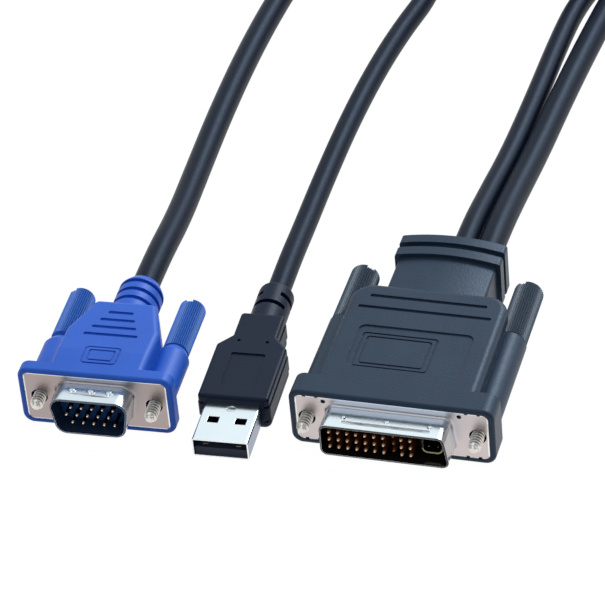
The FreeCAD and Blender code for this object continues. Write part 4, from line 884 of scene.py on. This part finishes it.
@dataclass
class CableRoute:
    """One cable from the projector plug through the tied coil to its own plug.

    Points are millimetres on the table, counted from below the projector plug's plate.
    """

    name: str
    diameter_mm: float
    projector_points: list[Triple]
    plug_points: list[Triple]
    coil_turn_radius_mm: float
    low_layer_mm: float
    high_layer_mm: float
    start_deg: float
    stop_deg: float
    turns: int = 6
    coil_centre_mm: Span = (-5.0, 236.0)
    points_per_turn: int = 24
    climb_turns: float = 0.5
    strap_deg: float = 90.0
    strap_lift_mm: float = 0.9
    strap_reach_deg: float = 28.0
    strap_ramp_deg: float = 18.0
    spline_order: int = 3
    spline_steps: int = 6
    section_steps: int = 5

    def coil_points(self) -> list[Triple]:
        """Works out the coil's control points.

        The cable spirals in on one layer, climbs at the inside and spirals out on the next.

        Returns:
            Control points between the two free ends.
        """
        sweep = self.stop_deg - self.start_deg + 360.0 * self.turns
        total = sweep / 360.0
        steps = round(total * self.points_per_turn)
        # The spline touches the middles of its control polygon's sides, so the corners lie further out.
        outward = 1.0 / math.cos(math.pi * total / steps)
        points = []
        for step in range(1, steps):
            turn = total * step / steps
            angle = self.start_deg + 360.0 * turn
            radius = (self.coil_turn_radius_mm - self.diameter_mm * min(turn, total - turn)) * outward
            climb = eased((turn - total / 2) / self.climb_turns + 0.5)
            # The turns rise where the strap passes under them.
            from_strap = abs((angle - self.strap_deg + 180.0) % 360.0 - 180.0)
            lift = eased((self.strap_reach_deg - from_strap) / self.strap_ramp_deg)
            height = self.low_layer_mm + (self.high_layer_mm - self.low_layer_mm) * climb
            points.append((self.coil_centre_mm[0] + radius * math.cos(math.radians(angle)),
                           self.coil_centre_mm[1] + radius * math.sin(math.radians(angle)),
                           height + self.strap_lift_mm * lift))
        return points

    def build(self, material: bpy.types.Material, length: float) -> bpy.types.Object:
        """Makes the cable as one smooth spline with a round section.

        Args:
            material: jacket's finish.
            length: real length in metres; not used.

        Returns:
            The curve object.
        """
        route = self.projector_points + self.coil_points() + self.plug_points[::-1]
        curve = bpy.data.curves.new(self.name, "CURVE")
        curve.dimensions = "3D"
        spline = curve.splines.new("NURBS")
        spline.points.add(len(route) - 1)
        for point, (x, y, z) in zip(spline.points, route):
            point.co = (x * MM, y * MM + PLATE_FROM_ORIGIN, z * MM, 1.0)
        spline.order_u = self.spline_order
        spline.use_endpoint_u = True
        spline.resolution_u = self.spline_steps
        curve.bevel_depth = self.diameter_mm / 2 * MM
        curve.bevel_resolution = self.section_steps
        curve.use_fill_caps = True
        curve.materials.append(material)
        cable = bpy.data.objects.new(self.name, curve)
        bpy.context.scene.collection.objects.link(cable)
        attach(cable, ROOT_BODY)
        LOG.info("laid %s with %d points", self.name, len(route))
        return cable


@dataclass
class CableSet:
    """Both cables and the strap that ties their coil."""

    cable_length: float = 1.8
    strap_thickness: float = 0.8 * MM
    strap_width: float = 10.0 * MM
    strap_corner: float = 2.6 * MM
    strap_corner_steps: int = 6
    strap_smooth_deg: float = 40.0

    def video_route(self) -> CableRoute:
        """Lays out the thicker cable, which leads to the video plug.

        Returns:
            Its route.
        """
        return CableRoute(
            "video_cable", 6.0,
            [(6.4, 56.7, 6.95), (6.4, 68.7, 6.95), (6.6, 85.5, 5.0), (7.4, 104.0, 3.4), (8.4, 127.0, 3.1),
             (10.0, 149.0, 3.2), (12.5, 169.0, 4.6), (17.9, 189.0, 9.0), (28.26, 206.06, 13.5)],
            [(-64.56, 35.0, 7.25), (-65.06, 46.99, 7.25), (-65.9, 65.0, 4.9), (-67.7, 85.0, 3.3),
             (-69.0, 108.0, 3.1), (-69.5, 132.0, 3.1), (-68.9, 155.0, 3.1), (-66.4, 177.0, 4.2),
             (-62.3, 198.0, 8.4), (-57.0, 217.0, 13.4), (-52.2, 233.5, 17.6), (-48.22, 247.58, 19.5)],
            coil_turn_radius_mm=44.75, low_layer_mm=13.5, high_layer_mm=19.5, start_deg=-42.0, stop_deg=165.0)

    def data_route(self) -> CableRoute:
        """Lays out the thinner cable, which leads to the data plug.

        Returns:
            Its route.
        """
        return CableRoute(
            "data_cable", 5.2,
            [(0.6, 56.7, 6.95), (0.6, 68.7, 6.95), (0.8, 84.5, 4.7), (1.7, 103.0, 3.0),
             (2.4, 127.0, 2.7), (2.8, 149.0, 2.75), (3.7, 166.0, 2.7), (7.6, 181.5, 2.7),
             (17.2, 195.0, 2.7), (27.96, 206.33, 2.7)],
            [(-36.65, 42.27, 4.0), (-37.21, 54.25, 4.0), (-37.8, 68.0, 2.9), (-38.3, 86.0, 2.7),
             (-38.4, 108.0, 2.7), (-37.6, 129.5, 2.7), (-35.7, 149.0, 2.7), (-32.6, 166.0, 2.8),
             (-34.0, 182.5, 3.4), (-39.2, 198.0, 5.2), (-44.6, 213.5, 7.0), (-48.68, 228.3, 7.9)],
            coil_turn_radius_mm=44.35, low_layer_mm=2.7, high_layer_mm=7.9, start_deg=-42.0, stop_deg=190.0)

    def build(self) -> None:
        """Lays both cables and ties them."""
        jacket = JACKET_VINYL.build()
        video = self.video_route().build(jacket, self.cable_length)
        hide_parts("video_cable_projector_end", "video_cable_plug_end", "cable_coil")
        data = self.data_route().build(jacket, self.cable_length)
        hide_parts("data_cable_projector_end", "data_cable_plug_end")
        self.build_strap()

    def build_strap(self) -> None:
        """Makes the strap: a soft-cornered band round the coil's section."""
        low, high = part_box("cable_tie")
        middle = (low + high) / 2
        deselect_all()
        bpy.ops.mesh.primitive_cube_add(size=1.0)
        strap = bpy.context.object
        strap.name = "coil_strap"
        size = high - low
        strap.scale = (self.strap_width, size.y, size.z + 2 * self.strap_thickness)
        bpy.ops.object.transform_apply(location=False, rotation=False, scale=True)
        bpy.ops.object.mode_set(mode="EDIT")
        bpy.ops.mesh.select_mode(type="FACE")
        bpy.ops.mesh.select_all(action="DESELECT")
        bpy.ops.object.mode_set(mode="OBJECT")
        for face in strap.data.polygons:
            face.select = abs(face.normal.x) > abs(face.normal.y) + abs(face.normal.z)
        bpy.ops.object.mode_set(mode="EDIT")
        bpy.ops.mesh.delete(type="ONLY_FACE")
        bpy.ops.mesh.select_mode(type="EDGE")
        bpy.ops.mesh.select_all(action="DESELECT")
        bpy.ops.object.mode_set(mode="OBJECT")
        for edge in strap.data.edges:
            ends = [strap.data.vertices[index].co for index in edge.vertices]
            edge.select = abs(ends[0].x - ends[1].x) > self.strap_width / 2
        bpy.ops.object.mode_set(mode="EDIT")
        bpy.ops.mesh.bevel(offset=self.strap_corner, segments=self.strap_corner_steps, affect="EDGES")
        bpy.ops.object.mode_set(mode="OBJECT")
        wall = strap.modifiers.new("strap_thickness", "SOLIDIFY")
        wall.thickness = self.strap_thickness
        wall.offset = -1.0
        bpy.ops.object.modifier_apply(modifier=wall.name)
        bpy.ops.object.shade_smooth_by_angle(angle=math.radians(self.strap_smooth_deg))
        settle(strap, Matrix.Translation((middle.x, middle.y, middle.z + self.strap_thickness)))
        strap.data.materials.append(STRAP.build())
        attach(strap, ROOT_BODY)
        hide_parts("cable_tie")
        LOG.info("tied the coil")


@dataclass
class ThumbScrew:
    """Steel screw of a thumbscrew: a plain core with a rolled helical thread at its tip."""

    plug: Plug
    side: Side
    crest_radius: float = 1.42 * MM
    root_radius: float = 0.92 * MM
    pitch: float = 0.79 * MM
    thread_length: float = 7.2 * MM
    tip_chamfer: float = 0.3 * MM
    lead_turns: float = 0.9
    segments: int = 24
    root_sink: float = 0.05 * MM
    tooth_root_share: float = 0.02
    tooth_crest_share: float = 0.38
    merge_gap: float = 0.002 * MM
    smooth_deg: float = 30.0

    def build(self, material: bpy.types.Material, axis: Vector) -> None:
        """Models the screw along +Z from its tip, then lays it on the solid's axis.

        Args:
            material: its finish.
            axis: direction from the tip to the knob.
        """
        node = f"{self.plug.value}_{self.side.value}_screw"
        low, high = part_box(node)
        middle = (low + high) / 2
        along = [vertex.co.dot(axis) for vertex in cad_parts[node].data.vertices]
        core = self.build_core(max(along) - min(along))
        thread = self.build_thread()
        deselect_all()
        thread.select_set(True)
        core.select_set(True)
        bpy.context.view_layer.objects.active = core
        bpy.ops.object.join()
        core.name = f"{self.plug.value}_{self.side.value}_threaded_screw"
        tip = middle + axis * (min(along) - middle.dot(axis))
        settle(core, Matrix.Translation(tip) @ axis.to_track_quat("Z", "Y").to_matrix().to_4x4())
        core.data.materials.clear()
        core.data.materials.append(material)
        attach(core, f"{self.plug.value}_{self.side.value}_thumbscrew")
        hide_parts(node)
        LOG.info("threaded %s", node)

    def build_core(self, length: float) -> bpy.types.Object:
        """Makes the screw's core with bevelled ends.

        Args:
            length: whole length of the screw.

        Returns:
            The core, from Z = 0 up.
        """
        deselect_all()
        bpy.ops.mesh.primitive_cylinder_add(vertices=self.segments, radius=self.root_radius, depth=length,
                                            location=(0, 0, length / 2))
        core = bpy.context.object
        bpy.ops.object.transform_apply(location=True)
        bevel = core.modifiers.new("tip_bevel", "BEVEL")
        bevel.width = self.tip_chamfer
        bevel.limit_method = "ANGLE"
        bevel.segments = 1
        bpy.ops.object.modifier_apply(modifier=bevel.name)
        bpy.ops.object.shade_smooth_by_angle(angle=math.radians(self.smooth_deg))
        return core

    def build_thread(self) -> bpy.types.Object:
        """Makes the thread: one tooth turned round the axis by a screw modifier.

        Returns:
            The helical ridge, closed at both ends, that rises from the core over its first turn.
        """
        deselect_all()
        bpy.ops.mesh.primitive_plane_add(size=1.0)
        ridge = bpy.context.object
        inside = self.root_radius - self.root_sink
        tooth = ((inside, self.tooth_root_share), (inside, 1 - self.tooth_root_share),
                 (self.crest_radius, 1 - self.tooth_crest_share), (self.crest_radius, self.tooth_crest_share))
        order = list(ridge.data.polygons[0].vertices)
        for index, (radius, share) in zip(order, tooth):
            ridge.data.vertices[index].co = (radius, 0.0, share * self.pitch)
        turns = int((self.thread_length - self.tip_chamfer) / self.pitch)
        screw = ridge.modifiers.new("thread_turns", "SCREW")
        screw.axis = "Z"
        screw.screw_offset = self.pitch
        screw.iterations = turns
        screw.steps = self.segments
        screw.render_steps = self.segments
        screw.use_merge_vertices = True
        bpy.ops.object.modifier_apply(modifier=screw.name)
        bpy.ops.object.mode_set(mode="EDIT")
        bpy.ops.mesh.select_all(action="SELECT")
        bpy.ops.mesh.remove_doubles(threshold=self.merge_gap)
        bpy.ops.mesh.fill_holes(sides=0)
        bpy.ops.mesh.normals_make_consistent(inside=False)
        bpy.ops.object.mode_set(mode="OBJECT")
        for vertex in ridge.data.vertices:
            height = min(vertex.co.z / (self.lead_turns * self.pitch), 1.0)
            limit = inside + (self.crest_radius - inside) * height
            radius = vertex.co.xy.length
            if radius > limit:
                vertex.co.xy *= limit / radius
        bpy.ops.object.shade_smooth_by_angle(angle=math.radians(self.smooth_deg))
        ridge.location = (0, 0, self.tip_chamfer)
        bpy.ops.object.transform_apply(location=True)
        return ridge


@dataclass
class ScrewedPlug:
    """A plug with a plate, a shroud and two thumbscrews."""

    plug: Plug
    hood: MouldedVinyl
    knob: MouldedVinyl
    block: MouldedVinyl
    shell: PlatedShell
    contact: HighlightedTipContact

    def build(self) -> None:
        """Dresses the plug's solids and threads its screws."""
        prefix = self.plug.value
        dress(f"{prefix}_hood", self.hood.build())
        dress(f"{prefix}_shell", self.shell.build())
        dress(f"{prefix}_insulator", self.block.build())
        dress(f"{prefix}_pins", self.contact.build())
        dress(f"{prefix}_cable_cores", CORE_VINYL.build())
        if self.plug is Plug.PROJECTOR:
            dress("projector_coaxial_pins", SHADED_GILT.build())
            dress("projector_coaxial_shield", SHIELD_GILT.build())
        knob = self.knob.build()
        screw = SCREW_NICKEL.build()
        for side in Side:
            dress(f"{prefix}_{side.value}_knob", knob)
            ThumbScrew(self.plug, side).build(screw, Vector(self.shell.axis))


@dataclass
class DataPlug:
    """The flat plug with a folded shell."""

    hood: MouldedVinyl
    shell: FoldedShell
    tongue: MouldedVinyl
    contact: HighlightedTipContact

    def build(self) -> None:
        """Dresses the plug's solids."""
        prefix = Plug.DATA.value
        dress(f"{prefix}_hood", self.hood.build())
        dress(f"{prefix}_shell", self.shell.build())
        dress(f"{prefix}_tongue", self.tongue.build())
        dress(f"{prefix}_contacts", self.contact.build())
        dress(f"{prefix}_cable_cores", CORE_VINYL.build())


def main() -> None:
    """Builds the scene in order."""
    logging.basicConfig(level=logging.INFO)
    ViewPoint().build()
    CableSet().build()
    plugs = (ScrewedPlug(Plug.PROJECTOR, BLACK_VINYL, BLACK_KNOB_VINYL, INSULATOR, PROJECTOR_NICKEL,
                         PROJECTOR_GILT),
             ScrewedPlug(Plug.VIDEO, BLUE_VINYL, BLUE_KNOB_VINYL, BLUE_INSULATOR, VIDEO_NICKEL, VIDEO_GILT),
             DataPlug(PLUG_VINYL, DATA_NICKEL, TONGUE, DATA_GILT))
    for plug in plugs:
        plug.build()
    Studio().build()


if __name__ == "__main__":
    main()
